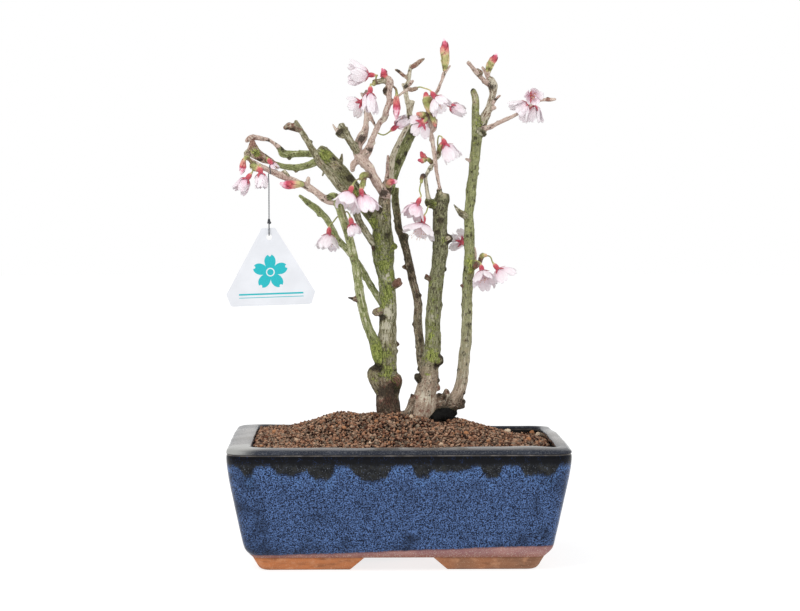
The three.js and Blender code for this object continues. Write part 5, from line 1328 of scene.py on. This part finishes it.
# %% Bark
bark = Finish("mossy_bark", Specular_IOR_Level=0.3)
along_wood = bark.paint("grain")["Vector"]
green, tan, pale = bark.split(bark.paint("tint")["Vector"])
moss, dark, red = bark.split(bark.paint("cover")["Vector"])
smooth = bark.paint("smooth")["Fac"]
streak = bark.grain(1.9, 3.0, bark.stretch(along_wood, 1, 1, 0.2), 0.6)
scale = bark.grain(1.2, 3.0, bark.stretch(along_wood, 1, 1, 0.5), 0.6)
fine = bark.grain(0.8, 2.0, roughness=0.65)
patch = bark.grain(3.4, 4.0, roughness=0.65)
ridge = streak * 0.3 + scale * 0.35 + fine * 0.35
ridge = ridge + (0.53 - ridge) * smooth
pits = bark.grain(2.6, 1.0, bark.stretch(along_wood, 1, 1, 0.7)).between(0.655, 0.7)


def covers(amount, texture, soft=0.03):
    """Patches of a noise that cover about this share of the surface."""
    return (texture - 0.7 + amount * 0.4).between(-soft, soft)


def furrow_shade_ridge_light(low, high):
    """A colour that runs from painted shade in the furrows to a painted highlight on the ridges."""
    return bark.mix(ridge.between(0.41, 0.6), low, high)


lichen = bark.mix((fine * 0.4 + scale * 0.6).between(0.4, 0.6), (92, 106, 38), (192, 202, 106))
cracks = covers(dark, scale * 0.7 + fine * 0.3, 0.025)
crack = bark.mix(fine.between(0.42, 0.62), (22, 17, 12), (74, 62, 46))
# Where the smooth paint passes 1, on the hollow stems, the bark is painted near-black: painted shade.
wood = bark.coat(
    furrow_shade_ridge_light((78, 76, 50), (178, 174, 146)),
    ((green + (patch - 0.5) * 1.4).between(0.1, 0.9), furrow_shade_ridge_light((72, 80, 34), (176, 182, 124))),
    ((tan + (patch - 0.5) * 1.2).between(0.1, 0.9), furrow_shade_ridge_light((112, 90, 72), (202, 182, 162))),
    ((tan - 1.02).between(0.0, 0.08), furrow_shade_ridge_light((146, 118, 104), (222, 202, 190))),
    (covers(pale, streak * 0.5 + scale * 0.5, 0.05) * 0.75, (208, 202, 182)),
    (covers(red, patch, 0.05) * 0.8, furrow_shade_ridge_light((76, 40, 32), (158, 108, 92))),
    (covers(moss, patch * 0.6 + scale * 0.4, 0.03) * 0.85, lichen),
    (cracks * 0.9, crack), (pits * 0.75, (62, 54, 38)), (smooth.between(0.9, 1.1), (5, 4, 3)))
rough = bark.bump(ridge, 2.2)
rough = bark.bump(covers(moss, patch * 0.6 + scale * 0.4, 0.08) * fine, 0.9, rough)
rough = bark.bump(1 - cracks, 0.35, rough)
bark.wear(Base_Color=wood, Roughness=0.75 + fine * 0.25, Normal=rough)
for trunks in (trunks_left, trunks_right):
    trunks.data.materials.append(bark.material)
print("bark has", len(bark.tree.nodes), "nodes")

# %% [markdown]
# ## Blossoms
# A cherry blossom is five thin petals round an eye: narrow where they are held, wide and notched at
# the tip, and cupped. Each petal is one curved sheet with a little thickness, so that its edge
# catches light. Its curve runs out from the eye and then bends to the flower's own lean, from a bell
# that hangs down to a flower that lies open. Every petal gets its own twist, length and ruffle.
# The table holds each flower's eye, where it looks (right, up, back), its petal length, lean and
# blush, and how wide its petals are.

# %% The flowers
FLOWERS = {name: (eye, direction, *rest) for name, (eye, direction, rest) in read_table("""
top_left -32 324.6 -21, -1 0.05 -0.1, 21 14 0.0 1.0
top_left_hanging -30 306 -30, -0.08 -1 -0.15, 20 -3 0.15 0.62
top_left_behind -39.6 297 0, -0.75 -0.55 0.6, 13 40 0.0 1.1
small_middle -3.6 274 -8, 0.75 0.62 -0.2, 14 0 0.5 0.7
crown_front 22 277 -17, -0.35 -0.25 0.9, 13 46 0.1 1.15
crown_right 35 302 -20, 0.55 -0.8 -0.3, 17 26 0.0 1.05
crown_far_right 51 294 3, 0.86 -0.5 0.1, 16 -2 0.35 0.8
crown_low 45.6 255 -10, 0.45 -0.86 0.05, 18 14 0.1 0.95
middle_upper 17 196 -14, -0.42 -0.88 -0.15, 18 26 1.0 1.12
middle_lower 22.4 177 -17, -0.24 -0.95 -0.2, 19 46 0.1 1.15
between_trunks 62 159 12, -0.4 0.4 0.8, 12 55 0.1 1.1
heart_left -50 208 -37.5, -0.36 -0.9 -0.2, 19 30 0.3 1.15
heart_right -37.8 205 -29, 0.22 -0.97 -0.1, 21 26 0.6 1.12
heart_low -48 176 -36, 0.25 -0.95 -0.1, 12 16 0.5 0.95
left_low -71.4 166 -14, -0.1 -0.98 -0.15, 17 26 0.15 1.1
label_shoot_left -152.6 220.6 -46, -0.6 -0.8 -0.1, 15 2 0.7 0.8
label_shoot_right -138.6 226 -47, 0.1 -0.98 -0.1, 15 3 0.1 0.95
limb_end -127.6 236 -2, 0.6 -0.78 -0.3, 8 0 0.7 0.9
right_front 131 304 -38, 0.12 -0.12 -1, 10 34 0.5 1.15
right_left 126 296 -29, -0.72 -0.66 -0.1, 17 24 0.0 1.1
right_hanging 133 294 -12, -0.05 -0.98 0.2, 17 4 0.0 0.85
low_right_cup 82 129 -7, 0.12 -0.85 -0.5, 18 24 0.35 1.05
low_right_side 98 131 -1, 0.6 -0.78 0.05, 17 38 0.2 1.1
""")}
EYE_SIZE = 1.7


def facing(direction):
    """Unit vectors out of a flower and two ways across it."""
    right, up, back = direction
    out = unit(np.array([right, back, up]))
    side = unit(np.cross(out, [0.3, 0.9, 0.35]))
    return out, side, np.cross(out, side)


def petal_curve(length, lean, reach):
    """Distance from the axis and height for points partway along a petal, in millimetres."""
    step = np.linspace(0, 1, 61)
    angle = np.radians(np.interp(step[:-1] + 1 / 120, [0, 1 / 2.6, 1], [74, lean, lean]))
    away = EYE_SIZE + np.concatenate([[0], np.cumsum(np.sin(angle))]) * length / 60
    height = np.concatenate([[0], np.cumsum(np.cos(angle))]) * length / 60
    return np.interp(reach / length, step, away), np.interp(reach / length, step, height)


def over_grid(rows, columns):
    """How far along (0 to 1) and across (-1 to 1) the points of a grid are."""
    return np.meshgrid(np.linspace(0, 1, rows), np.linspace(-1, 1, columns), indexing="ij")


def petal_sheet(random, length, lean, number, width):
    """One petal in the flower's own axes, and how far along and across it each point is."""
    along, across = over_grid(15, 13)
    own = length * random.uniform(0.93, 1.05)
    notch = random.uniform(0.07, 0.15) * np.exp(-(across / 0.17) ** 2) * along ** 5
    reach = own * along * (1 - 0.2 * np.abs(across) ** 3.2 * along - notch)
    away, height = petal_curve(own, lean + random.uniform(-7, 7), np.clip(reach, 0, own))
    wide = 0.16 + 0.84 * np.sin(np.pi / 2 * np.minimum(1, along / 0.66)) ** 1.4
    wide *= 1 - 0.22 * np.clip((along - 0.66) / 0.34, 0, 1) ** 2
    half = own * random.uniform(0.35, 0.4) * width * wide
    sway = random.uniform(-0.18, 0.18)
    wrap = np.clip(away * 1.1, 4, 14)
    turn = across * half / wrap
    over = 0.35 + 0.35 * (number % 2) + 0.5 * across * along
    radius = away + over * along
    cup = (1 - np.cos(turn)) * wrap * (0.55 - lean / 160)
    lateral = np.sin(turn) * wrap + sway * own * along ** 2
    curl = random.uniform(-1.4, 1.0) * np.clip((along - 0.72) / 0.28, 0, 1) ** 2
    waves = np.sin(along * random.uniform(5, 8) + across * random.uniform(1, 3) + random.uniform(0, 6))
    ruffle = waves * 0.045 * own * np.abs(across) ** 2 * along
    radius = radius - cup + curl + ruffle
    height = height + 0.6 * ruffle - 0.4 * curl
    angle = number * 2 * np.pi / 5 + random.uniform(-0.12, 0.12)
    x, y = towards(radius, -lateral, angle), towards(lateral, radius, angle)
    return np.stack([x, y, height], axis=-1), along, across


def doubled(rows):
    """Values of a grid for both faces of its sheet."""
    return np.concatenate([rows.ravel(), rows.ravel()])


def make_blossom(name):
    eye, direction, length, lean, blush, width = FLOWERS[name]
    random = np.random.default_rng(sum(map(ord, name)))
    out, side, up = facing(direction)
    centre, turn = marks([eye])[0], random.uniform(0, 2 * np.pi)
    side, up = towards(side, up, turn), towards(up, -side, turn)
    flower = Pile()
    for number in range(5):
        grid, along, across = petal_sheet(random, length, lean, number, width)
        placed = centre + (grid[..., :1] * side + grid[..., 1:2] * up + grid[..., 2:] * out) * MM
        chance = np.full(2 * along.size, random.uniform())
        flower.add(sheet(placed, 0.14 * MM), blush=blush,
                   petal=np.column_stack([doubled(along), doubled(across), chance]))
    return piece("blossom_" + name, flower, ["petals_" + name])


blossoms = [make_blossom(name) for name in FLOWERS]
print(len(blossoms), "blossoms of", len(blossoms[0].data.polygons), "faces each")

# %% [markdown]
# ## Stamens
# From each eye a tuft of thin threads stands up, each with a tiny orange anther on its end. They
# are fine tubes and rounded grains, all in one piece, because they are too small to be told apart.

# %% Stamens
tuft, random = Pile(), np.random.default_rng(12)
grain_points, grain_faces = lump_shape(1)
for name, (eye, direction, length, lean, _, _) in FLOWERS.items():
    out, side, up = facing(direction)
    centre = marks([eye])[0]
    for _ in range(15 if lean < 45 else 22):
        angle, spread = random.uniform(0, 2 * np.pi), random.uniform(0.05, 0.32 + lean / 110)
        away = towards(side, up, angle)
        tall = length * random.uniform(0.38, 0.62) if lean < 45 else length * random.uniform(0.5, 0.8)
        line = smooth_line([centre + (away * (0.7 + tall * spread * t ** 1.4) + out * tall * t) * MM
                            for t in (0, 0.35, 0.7, 1)], 2)
        tuft.add(tube(line, 0.13 * MM, 5), anther=0.0)
        shape = grain_points * [0.34, 0.34, 0.5] * random.uniform(0.8, 1.2) * MM + line[-1]
        tuft.add((shape, [grain_faces]), anther=1.0)
stamens = piece("stamens", tuft)
print("stamens have", len(stamens.data.polygons), "faces")

# %% [markdown]
# ## Petal finish
# Petals are almost white. Pink gathers at the narrow foot and runs out along fine veins, the rim is
# painted a little greyer as painted shade, and each flower has its own blush. The painted values
# give the place along and across every petal, so the veins fan out from its foot.

# %% Petals
petals = Finish("cherry_petal", Specular_IOR_Level=0.35, Sheen_Weight=0.15)
along, across, chance = petals.split(petals.paint("petal")["Vector"])
blush = petals.paint("blush")["Fac"]
on_petal = petals.node("ShaderNodeCombineXYZ", {}, {"X": across, "Y": along * 0.16, "Z": chance * 9})
vein = petals.grain(1 / (9 * MM), 3.0, on_petal["Vector"], 0.6)
vein = 1 - ((vein - 0.5).size() * 14).between(0, 1)
mottle = petals.grain(2.4, 3.0)
blushed = blush * (0.25 + mottle * 0.35) * along.between(1.1, 0.1)
soft_pink = (1 - along).between(0.35, 1.0) * 0.4 + blushed
# The petal's edge is painted a little greyer: painted shade along the rim.
rim = across.size().between(0.86, 1.0).above(along.between(0.95, 1.0))
skin = petals.coat(
    petals.mix(soft_pink + chance * 0.06, (249, 244, 247), (232, 160, 190)),
    (vein * 0.22 * (0.4 + blush), (216, 132, 164)), (rim * 0.28, (206, 194, 202)),
    (mottle.between(0.5, 0.72) * 0.2, (222, 212, 218)))
crease = petals.bump(vein, 0.12, petals.bump(mottle, 0.5))
petals.wear(Base_Color=skin, Roughness=0.45 + mottle * 0.3, Normal=crease)
for blossom in blossoms:
    blossom.data.materials.append(petals.material)
anthers = Finish("stamen_threads", Specular_IOR_Level=0.3)
anther = anthers.paint("anther")["Fac"]
pollen = anthers.mix(anthers.grain(0.3).between(0.35, 0.65), (168, 96, 40), (226, 164, 84))
colour = anthers.mix(anther, (238, 214, 214), pollen)
stamens.data.materials.append(anthers.wear(Base_Color=colour, Roughness=0.6 + anther * 0.25))
print("petals have", len(petals.tree.nodes), "nodes")

# %% [markdown]
# ## Stalks, cups and bud scales
# Behind each flower sits a crimson cup with five pointed sepals, on a thin stalk that comes out of
# a bud with brown and green scales. Closed buds are built in the same way: a core with a spiral of
# scales round it. One painted number, how ripe the skin is, gives all their colours, from brown and
# green over salmon to crimson and pale pink, as it does on the plant.

# %% Clusters
CLUSTERS = {}
for word, route in read_table("""
stalks_top_left
scales -21 318 -20 2.2, -25.4 317 -20 2.4, -26.5 314.6 -21 1.4
top_left -24.4 317.6 -20, -23.6 323 -20.4
top_left_hanging -25 316.4 -21, -25.6 314 -26
stalks_top_left_behind
top_left_behind -36.4 303 -8, -37 302 -5.4
stalks_small_middle
small_middle -24.4 268 -14, -17 265 -12
stalks_crown
crown 28.4 290.4 -10.6 1.5, 30.6 289 -14 3.6, 27 299 -14 4.2, 25.6 306 -13 2
orange 28 285 -13 2, 22.6 285 -15 2.7, 17.4 286 -16 1.7
orange 30.6 289 -14 3, 33 280 -14 2, 35 274 -13.6 1.2
crown_front 28 289 -13, 26.6 284 -11
crown_right 15.6 311.2 -9, 19 312.6 -11, 23.6 311.6 -14
crown_far_right 28 303 -12, 33 305.6 -4, 39 303.6 0
green 38.4 247 -2 1.6, 39.6 252 -5 2.3, 41.6 257 -8 1.5
crown_low 38.6 249 -2, 37.4 257 -6, 38.6 264 -9
stalk_middle_upper
dark 26 223 -3 1.4, 22.6 225 -6 1.5, 21 218 -8 1.5
middle_upper 21.4 220 -8, 19.4 210 -10
stalk_middle_lower
middle_lower 30 195 -5, 28 193.6 -12, 26 188 -15
stalk_between_trunks
between_trunks 68 160 4, 66.6 159.4 6
stalks_heart
olive -29 224 -9 1.8, -33 225.4 -16 2.4, -37.4 224.6 -21 2.4, -40 221 -22 1.4
green -35 223 -19 1.7, -37 216 -23 1.9, -38.4 210 -26 1.3
heart_left -38 223 -20, -44 219.6 -30
heart_right -37 223 -20, -40 215 -27
stalk_heart_low
heart_low -57 186 -26, -53 188.6 -32
stalk_left_low
left_low -57 185 -25, -62 184 -19, -67.2 178 -15.4
stalks_label_shoot
green -145 237.6 -40 2, -146 234 -44 3, -141 231 -45 3
label_shoot_left -145 233 -45, -146 231.6 -45.4
label_shoot_right -141 231.6 -45, -139.6 233 -46
hanging -147 235 -44 1.2, -151.6 243 -46 0.9, -155 240 -46 1.6, -156.4 234 -46 2.7, -157 229.6 -46 2.2,
  -158 226 -46 0.9
stalk_limb_end
limb_end -131 240 6, -132 240 0
stalks_right
scales 126 291.4 -18 1.4, 128.6 297 -18 2.3
right_front 128.6 297 -18, 130.6 302.6 -25
right_left 128.6 298 -18, 132 303 -24
right_hanging 128.6 297.6 -17.6, 131.6 302.4 -16
stalk_low_right_cup
low_right_cup 72 138 2, 75.6 140 -4
stalk_low_right_side
scales 79.6 137.6 1.6 1.8, 82.2 144.6 0 2.1, 86 145 -2 1.5
low_right_side 84.4 145 -1, 90 143.8 -2.4
bud_crimson
crimson -13 321 -20 2, -15.6 323.6 -20 3, -16.4 327 -20 3.1, -18 330.4 -20 0.8
bud_hanging
hanging -9 314 -20 0.8, -4.6 311 -22 0.8, -3.4 305 -22 0.9, -3.8 301 -22 2.2, -3.4 293 -22 3,
  -3.8 285 -22 2.3, -4 281 -22 0.9
bud_top
opening 44.5 327 -14 1.2, 44.6 331.4 -14 2, 45 338 -14 3.2, 44.2 348 -14 3.7, 44.6 354 -14 3,
  43.4 360 -14 0.8
bud_top_right
opening 88 326 19 1.2, 88.6 331.6 19 2.9, 91 337.6 18 3, 94 341.4 17 2.9, 96 345.6 16 1
buds_twin
twin 32 236 -2 1.4, 29.4 240 -4 1.8, 26 241.6 -5 1.3, 22.4 244.6 -5 2.6, 21 247.6 -5 1.4
twin 26.6 241.4 -5 1.3, 22.4 239.8 -6 2.5, 18.6 240 -6 1.3
bud_label_shoot
pink -97 215 -32 1.4, -99 216 -38 2.6, -106 215.6 -40 3.3, -113 215.4 -41 3.6, -118.6 216.6 -41 1.4
bud_trunk_top
rosy -12 213 -3 2, -10 218 -8 2.8, -4.4 218.4 -8.4 2
"""):
    if route:
        CLUSTERS[name].append((word, route))
    else:
        name = word
        CLUSTERS[name] = []

# How ripe each kind of bud is from its foot (0) to its tip (1): ripeness 0 is brown, 0.3 green,
# 0.5 salmon, 0.8 crimson, and 1 a petal's pale pink.
RIPENESS = dict(read_table("""
scales 0 0.05, 0.3 0.12, 0.7 0.3, 1 0.42
orange 0 0.06, 0.25 0.16, 0.5 0.34, 0.75 0.5, 1 0.6
dark 0 0, 0.6 0.04, 1 0.3
green 0 0.1, 0.4 0.26, 0.8 0.32, 1 0.6
rosy 0 0.3, 0.3 0.45, 0.6 0.62, 0.8 0.86, 1 1
crimson 0 0.4, 0.3 0.72, 0.7 0.82, 1 0.9
hanging 0 0.1, 0.3 0.3, 0.42 0.56, 0.6 0.66, 0.72 0.95, 1 1
pink 0 0.05, 0.12 0.28, 0.3 0.34, 0.48 0.52, 0.62 0.74, 0.74 0.88, 0.86 0.96, 1 1
opening 0 0, 0.1 0.48, 0.2 0.16, 0.35 0.44, 0.48 0.34, 0.6 0.6, 0.78 0.76, 0.9 0.84, 1 1
crown 0 0, 0.2 0.1, 0.4 0.5, 0.6 0.28, 0.78 0.34, 0.9 0.7, 1 0.8
olive 0 0.04, 0.3 0.16, 0.6 0.24, 1 0.36
twin 0 0.12, 0.35 0.28, 0.55 0.6, 0.75 0.74, 1 0.8
"""))
print(len(CLUSTERS), "clusters and", len(RIPENESS), "kinds of bud")


# %% Scales, cups and stalks
def along_core(line, radius, across, over, share):
    """The core's middle, thickness and sideways directions at shares of its length."""
    place = np.linspace(0, 1, len(line))
    read = [np.stack([np.interp(share, place, values[:, axis]) for axis in range(3)], axis=-1)
            for values in (line, across, over)]
    return read[0], np.interp(share, place, radius), read[1], read[2]


def add_skin(cluster, shape, ripe, chance, edge):
    """Adds a tube whose ripeness is given ring by ring."""
    sides = (len(shape[0]) - 2) // len(ripe)
    ripe = np.append(np.repeat(ripe, sides), [ripe[0], ripe[-1]])
    cluster.add(shape, ripe=ripe, chance=chance, edge=edge)


def add_bud(cluster, random, kind, stations):
    """A core with a soft spiral fold, wrapped in pointed scales."""
    line = smooth_line(marks(stations), 6)
    share = np.linspace(0, 1, len(line))
    thickness = [station[3] for station in stations]
    radius = levelled(np.interp(share, np.linspace(0, 1, len(stations)), thickness) * MM, 1)
    along, across, over = frames(line)
    tip = along[-1] * radius[-1]
    around = ring_turns(16)
    fold = 1 + 0.07 * np.sin(3 * around[None] + share[:, None] * 5) + 0.03 * np.sin(7 * around[None])
    core = np.vstack([line, line[-1] + tip * 0.5, line[-1] + tip * 0.8])
    width = radius[:, None] * fold
    width = np.vstack([width, width[-1:] * 0.7, width[-1:] * 0.25])
    ripeness = list(zip(*RIPENESS[kind]))
    ripe = np.interp(np.append(share, [1, 1]), *ripeness)
    add_skin(cluster, tube(core, width, 16), ripe, random.uniform(), 0.3)
    count = int(np.clip(reach_along(line)[-1] / MM / 1.6, 5, 12))
    for number in range(count):
        start = number / count * 0.72
        reach, half = random.uniform(0.24, 0.4), random.uniform(0.75, 1.05)
        t, x = over_grid(8, 7)
        place = np.clip(start + t * reach, 0, 1)
        middle, thick, sideways, upward = along_core(line, radius, across, over, place)
        wide = x * half * np.maximum(1 - t ** 2.4, 0.03) ** 0.7
        angle = number * 2.4 + random.uniform(-0.3, 0.3) + wide
        lift = (0.1 + 0.1 * (number % 2) + random.uniform(0.1, 0.7) * t ** 3) * MM
        out = towards(sideways, upward, angle[..., None])
        placed = middle + out * (thick * 1.06 + lift)[..., None]
        ripe = np.interp(place, *ripeness) - 0.05 + 0.1 * t ** 4
        edge = np.clip(np.maximum(np.abs(x), t ** 3), 0, 1) ** 3
        cluster.add(sheet(placed, 0.2 * MM), ripe=doubled(ripe), chance=random.uniform(),
                    edge=doubled(edge))


def add_cup(cluster, random, flower, route):
    """A thin stalk, the crimson cup behind a flower, and its five sepals."""
    eye, direction, length, lean, _, _ = FLOWERS[flower]
    out, side, up = facing(direction)
    centre = marks([eye])[0]
    behind = [centre - out * back * MM for back in (8.6, 7, 5.4, 3.4, 1.4, 0.3)]
    line = smooth_line(np.vstack([marks(route), behind]), 5)
    cup = np.interp(np.linalg.norm(line - centre, axis=1) / MM, [0.3, 1.4, 3, 5, 6.2, 7.4, 9],
                    [2.3, 2.2, 2.4, 2.1, 1.45, 0.85, 0.65])
    start = np.linspace(0, 1, len(line))
    ripe = np.interp(start, [0, 0.2, 0.42, 0.62, 1], [0.16, 0.25, 0.36, 0.72, 0.8])
    ribs = 1 + 0.05 * np.cos(5 * ring_turns(12))[None] * (cup[:, None] > 1)
    add_skin(cluster, tube(line, cup[:, None] * ribs * MM, 12), ripe, random.uniform(), 0.0)
    first = random.uniform(0, 2 * np.pi)
    for number in range(5):
        t, x = over_grid(8, 5)
        reach = min(5.4, length * 0.36) * random.uniform(0.85, 1.15)
        away, height = petal_curve(length, lean + 8, t * reach)
        away = away + 0.35 + random.uniform(0, 1.1) * t ** 2
        half = 1.6 * (1 - t ** 1.7) + 0.06
        angle = first + number * 2 * np.pi / 5
        outward = towards(side, up, angle)
        sideways = np.cross(out, outward)
        placed = outward * (away - 0.25 * x ** 2)[..., None] + sideways * (x * half)[..., None]
        placed = centre + MM * (placed + out * (height - 0.55)[..., None])
        ripe = 0.82 - 0.1 * t + 0.06 * np.abs(x)
        cluster.add(sheet(placed, 0.22 * MM), ripe=doubled(ripe), chance=random.uniform(),
                    edge=doubled(0.4 * np.abs(x) ** 2))


tissue = []
for name, parts in CLUSTERS.items():
    random = np.random.default_rng(sum(map(ord, name)))
    cluster = Pile()
    for kind, stations in parts:
        if kind in RIPENESS:
            add_bud(cluster, random, kind, stations)
        else:
            add_cup(cluster, random, kind, stations)
    title = ("scales_of_" if name.startswith("bud") else "cups_of_") + name
    tissue.append(piece(title, cluster, [name]))
print(len(tissue), "pieces,", sum(len(part.data.polygons) for part in tissue), "faces")

# %% [markdown]
# ## Finish of buds and cups
# A colour ramp turns ripeness into skin: its stops are the colours met from the foot of a bud to its
# tip. A noise shifts the ripeness a little, so that borders between the colours wander, and fine
# lengthwise speckle gives the skin its bloom.

# %% Buds and cups
tender = Finish("bud_and_cup_skin", Specular_IOR_Level=0.4, Sheen_Weight=0.2)
ripe, chance = tender.paint("ripe")["Fac"], tender.paint("chance")["Fac"]
speckle, blotch = tender.grain(0.6, 3.0, roughness=0.65), tender.grain(1.8, 3.0)
shifted = ripe + (blotch - 0.5) * 0.22 + (chance - 0.5) * 0.08
ramp = tender.ramp(
    shifted, (0.0, (44, 30, 24)), (0.12, (112, 82, 54)), (0.26, (150, 158, 84)),
    (0.4, (202, 186, 132)), (0.52, (212, 150, 130)), (0.66, (206, 92, 96)), (0.8, (178, 42, 70)),
    (0.9, (222, 110, 140)), (1.0, (246, 216, 226)))
colour = tender.coat(
    ramp, (speckle.between(0.5, 0.7) * 0.4, tender.mix(0.5, ramp, (250, 226, 214))),
    ((0.5 - speckle).between(0.02, 0.18) * 0.45, tender.mix(0.6, ramp, (60, 20, 24))),
    (tender.paint("edge")["Fac"].between(0.3, 1.0) * 0.6, tender.mix(0.55, ramp, (92, 34, 36))))
tender.wear(Base_Color=colour, Roughness=0.4 + speckle * 0.35, Normal=tender.bump(speckle, 0.35))
for part in tissue:
    part.data.materials.append(tender.material)
print("buds and cups have", len(tender.tree.nodes), "nodes")

# %% [markdown]
# ## Label
# The label is a rounded triangle of smooth white plastic sheet, and its CAD solid already has the
# right shape, so it only gets a finish. Its print is drawn from sums: the place on the label in
# millimetres, measured from the hole along the label's own tilt, gives the angle and distance from
# the middle of a plain five-petal flower. Below it is a double ruled line to write a plant's name on.

# %% Label
label = Finish("label_plastic", Specular_IOR_Level=0.45)
world_x, _, world_z = label.split(label.place())
TILT, FLOWER_BELOW, RULES_BELOW, RULE_HALF = 0.035, 31.5, (51.0, 54.0), 29
from_x, from_z = world_x / MM - float(tag_centre[0]), world_z / MM - float(tag_centre[2])
on_x = from_x * math.cos(TILT) + from_z * math.sin(TILT)
on_z = from_z * math.cos(TILT) - from_x * math.sin(TILT)
petal_z = on_z + FLOWER_BELOW
away = (on_x * on_x + petal_z * petal_z) ** 0.5
fold = (on_x.angle_to(petal_z) * 2.5).cosine().size()
outline = 6.5 + fold ** 0.75 * 9.5 - fold.between(0.965, 1.0) * 1.8
flower_print = (outline - away).between(-0.12, 0.12) * (away - 3.4).size().between(0.35, 0.6)
flower_print = flower_print * fold.between(0.1, 0.2).above(away.between(9, 8.6))
thick_rule, thin_rule = ((half - (on_z + below).size()).between(-0.1, 0.1)
                         for half, below in zip((0.75, 0.3), RULES_BELOW))
rule_ends = (RULE_HALF - on_x.size()).between(-0.1, 0.1)
print_mask = flower_print.above(thick_rule.above(thin_rule) * rule_ends)
soft = label.grain(18, 2.0)
ink = label.mix(label.grain(0.7, 2.0).between(0.3, 0.7), (12, 166, 175), (24, 184, 192))
sheet_colour = label.coat(
    label.mix(soft.between(0.3, 0.7), (215, 217, 222), (222, 224, 229)),
    (label.grain(0.5).between(0.68, 0.76) * 0.25, (180, 181, 186)), (print_mask, ink))
label_finish = label.wear(Base_Color=sheet_colour, Roughness=0.3 + soft * 0.2 + print_mask * 0.15,
                          Normal=label.bump(label.grain(7, 2.0), 0.12))
print("label has", len(label.tree.nodes), "nodes")

# %% [markdown]
# ## Thread, screens and clips
# The thread is two dark strands laid together, so its finish has slanted stripes: painted light on
# the strands' crowns and painted shade in the grooves between them. Under the soil, black plastic
# screens cover the drain holes, and anodised wire clips hold them. They are CAD nodes of the right
# shape, so each only gets a finish: moulded plastic with a faint woven relief, and drawn wire with
# long scratches.

# %% Thread, screens and clips
twine = Finish("label_thread", Specular_IOR_Level=0.3, Sheen_Weight=0.2)
twine_x, _, twine_z = twine.split(twine.place())
slant = (twine_z + twine_x * 1.3) / MM * 2.6
# The stripes are painted light on the strands' crowns and painted shade in the grooves.
strand = slant.sine() * 0.5 + 0.5
fuzz = twine.grain(0.25, 2.0)
twine_colour = twine.mix(strand * 0.6 + fuzz * 0.4, (22, 24, 28), (96, 98, 104))
twine_finish = twine.wear(Base_Color=twine_colour, Roughness=0.65 + fuzz * 0.25,
                          Normal=twine.bump(strand + fuzz * 0.4, 0.15))

plastic = Finish("mesh_plastic", Specular_IOR_Level=0.4)
mesh_x, mesh_y, _ = plastic.split(plastic.place())
weave = (mesh_x / MM * 4.2).sine() * (mesh_y / MM * 4.2).sine() * 0.5 + 0.5
dust = plastic.grain(3, 4.0)
plastic_colour = plastic.mix(dust.between(0.5, 0.7) * 0.6, (30, 33, 30), (98, 84, 66))
plastic_finish = plastic.wear(Base_Color=plastic_colour, Roughness=0.5 + dust * 0.35,
                              Normal=plastic.bump(weave, 0.15))

wire = Finish("clip_wire", Specular_IOR_Level=0.5)
scratch = wire.grain(0.6, 3.0, wire.stretch(wire.place(), 0.15, 1, 1))
stain = wire.grain(4, 2.0)
wire_colour = wire.coat(wire.mix(scratch.between(0.3, 0.7), (112, 84, 56), (170, 136, 96)),
                        (stain.between(0.55, 0.75) * 0.5, (88, 78, 66)))
wire_finish = wire.wear(Base_Color=wire_colour, Metallic=0.9 - stain.between(0.55, 0.75) * 0.5,
                        Roughness=0.3 + scratch * 0.3, Normal=wire.bump(scratch, 0.05))


# A CAD node drops the plain finish it came with.
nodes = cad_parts
for targets, material in (
        ([nodes["tag"]], label_finish), ([thread, knot], twine_finish),
        ([nodes["drain_screen_left"], nodes["drain_screen_right"]], plastic_finish),
        ([nodes["drain_clip_left"], nodes["drain_clip_right"]], wire_finish)):
    for target in targets:
        target.data.materials.clear()
        target.data.materials.append(material)
print("label, thread, screens and clips are finished")

# %% [markdown]
# ## Light and backdrop
# A white floor and a white backdrop give the plain pale studio. The backdrop is a wide dome that
# only the camera sees, so the light doesn't depend on it. The light comes from a soft sky all
# around, a large panel above the left shoulder, and a weaker one from the right.

# %% Light and backdrop
world = bpy.data.worlds.new("studio")
world.use_nodes = True
world.node_tree.nodes["Background"].inputs["Color"].default_value = (1, 1, 1, 1)
world.node_tree.nodes["Background"].inputs["Strength"].default_value = 0.8
scene.world = world


def panel(name, place, aim, size, power):
    light = bpy.data.lights.new(name, "AREA")
    light.shape, light.size, light.energy = "SQUARE", size, power
    lamp = put(name, light)
    lamp.location = place
    lamp.rotation_euler = (Vector(aim) - Vector(place)).to_track_quat("-Z", "Y").to_euler()


panel("key", (-1.3, -1.5, 2.2), (0, 0, 0.2), 1.2, 34)
panel("fill", (1.8, -0.6, 1.2), (0, 0, 0.2), 1.0, 8)


def surrounding(name, build, shape, **constants):
    """A shape round the tree, with a finish that glows white."""
    mesh, bm = bpy.data.meshes.new(name), bmesh.new()
    build(bm, **shape)
    bm.to_mesh(mesh)
    bm.free()
    mesh.materials.append(Finish(name, Emission_Color=(1, 1, 1, 1), **constants).material)
    return put(name, mesh)


floor = surrounding("studio_floor", bmesh.ops.create_circle,
                    {"cap_ends": True, "segments": 64, "radius": 7}, Base_Color=(0.3, 0.3, 0.3, 1),
                    Emission_Strength=0.79, Roughness=0.9, Specular_IOR_Level=0.1)
dome = surrounding("studio_backdrop", bmesh.ops.create_icosphere, {"subdivisions": 4, "radius": 8},
                   Base_Color=(0, 0, 0, 1), Emission_Strength=1.0, Specular_IOR_Level=0.0)
dome.visible_diffuse = dome.visible_glossy = dome.visible_transmission = dome.visible_shadow = False
print("floor and backdrop in place")
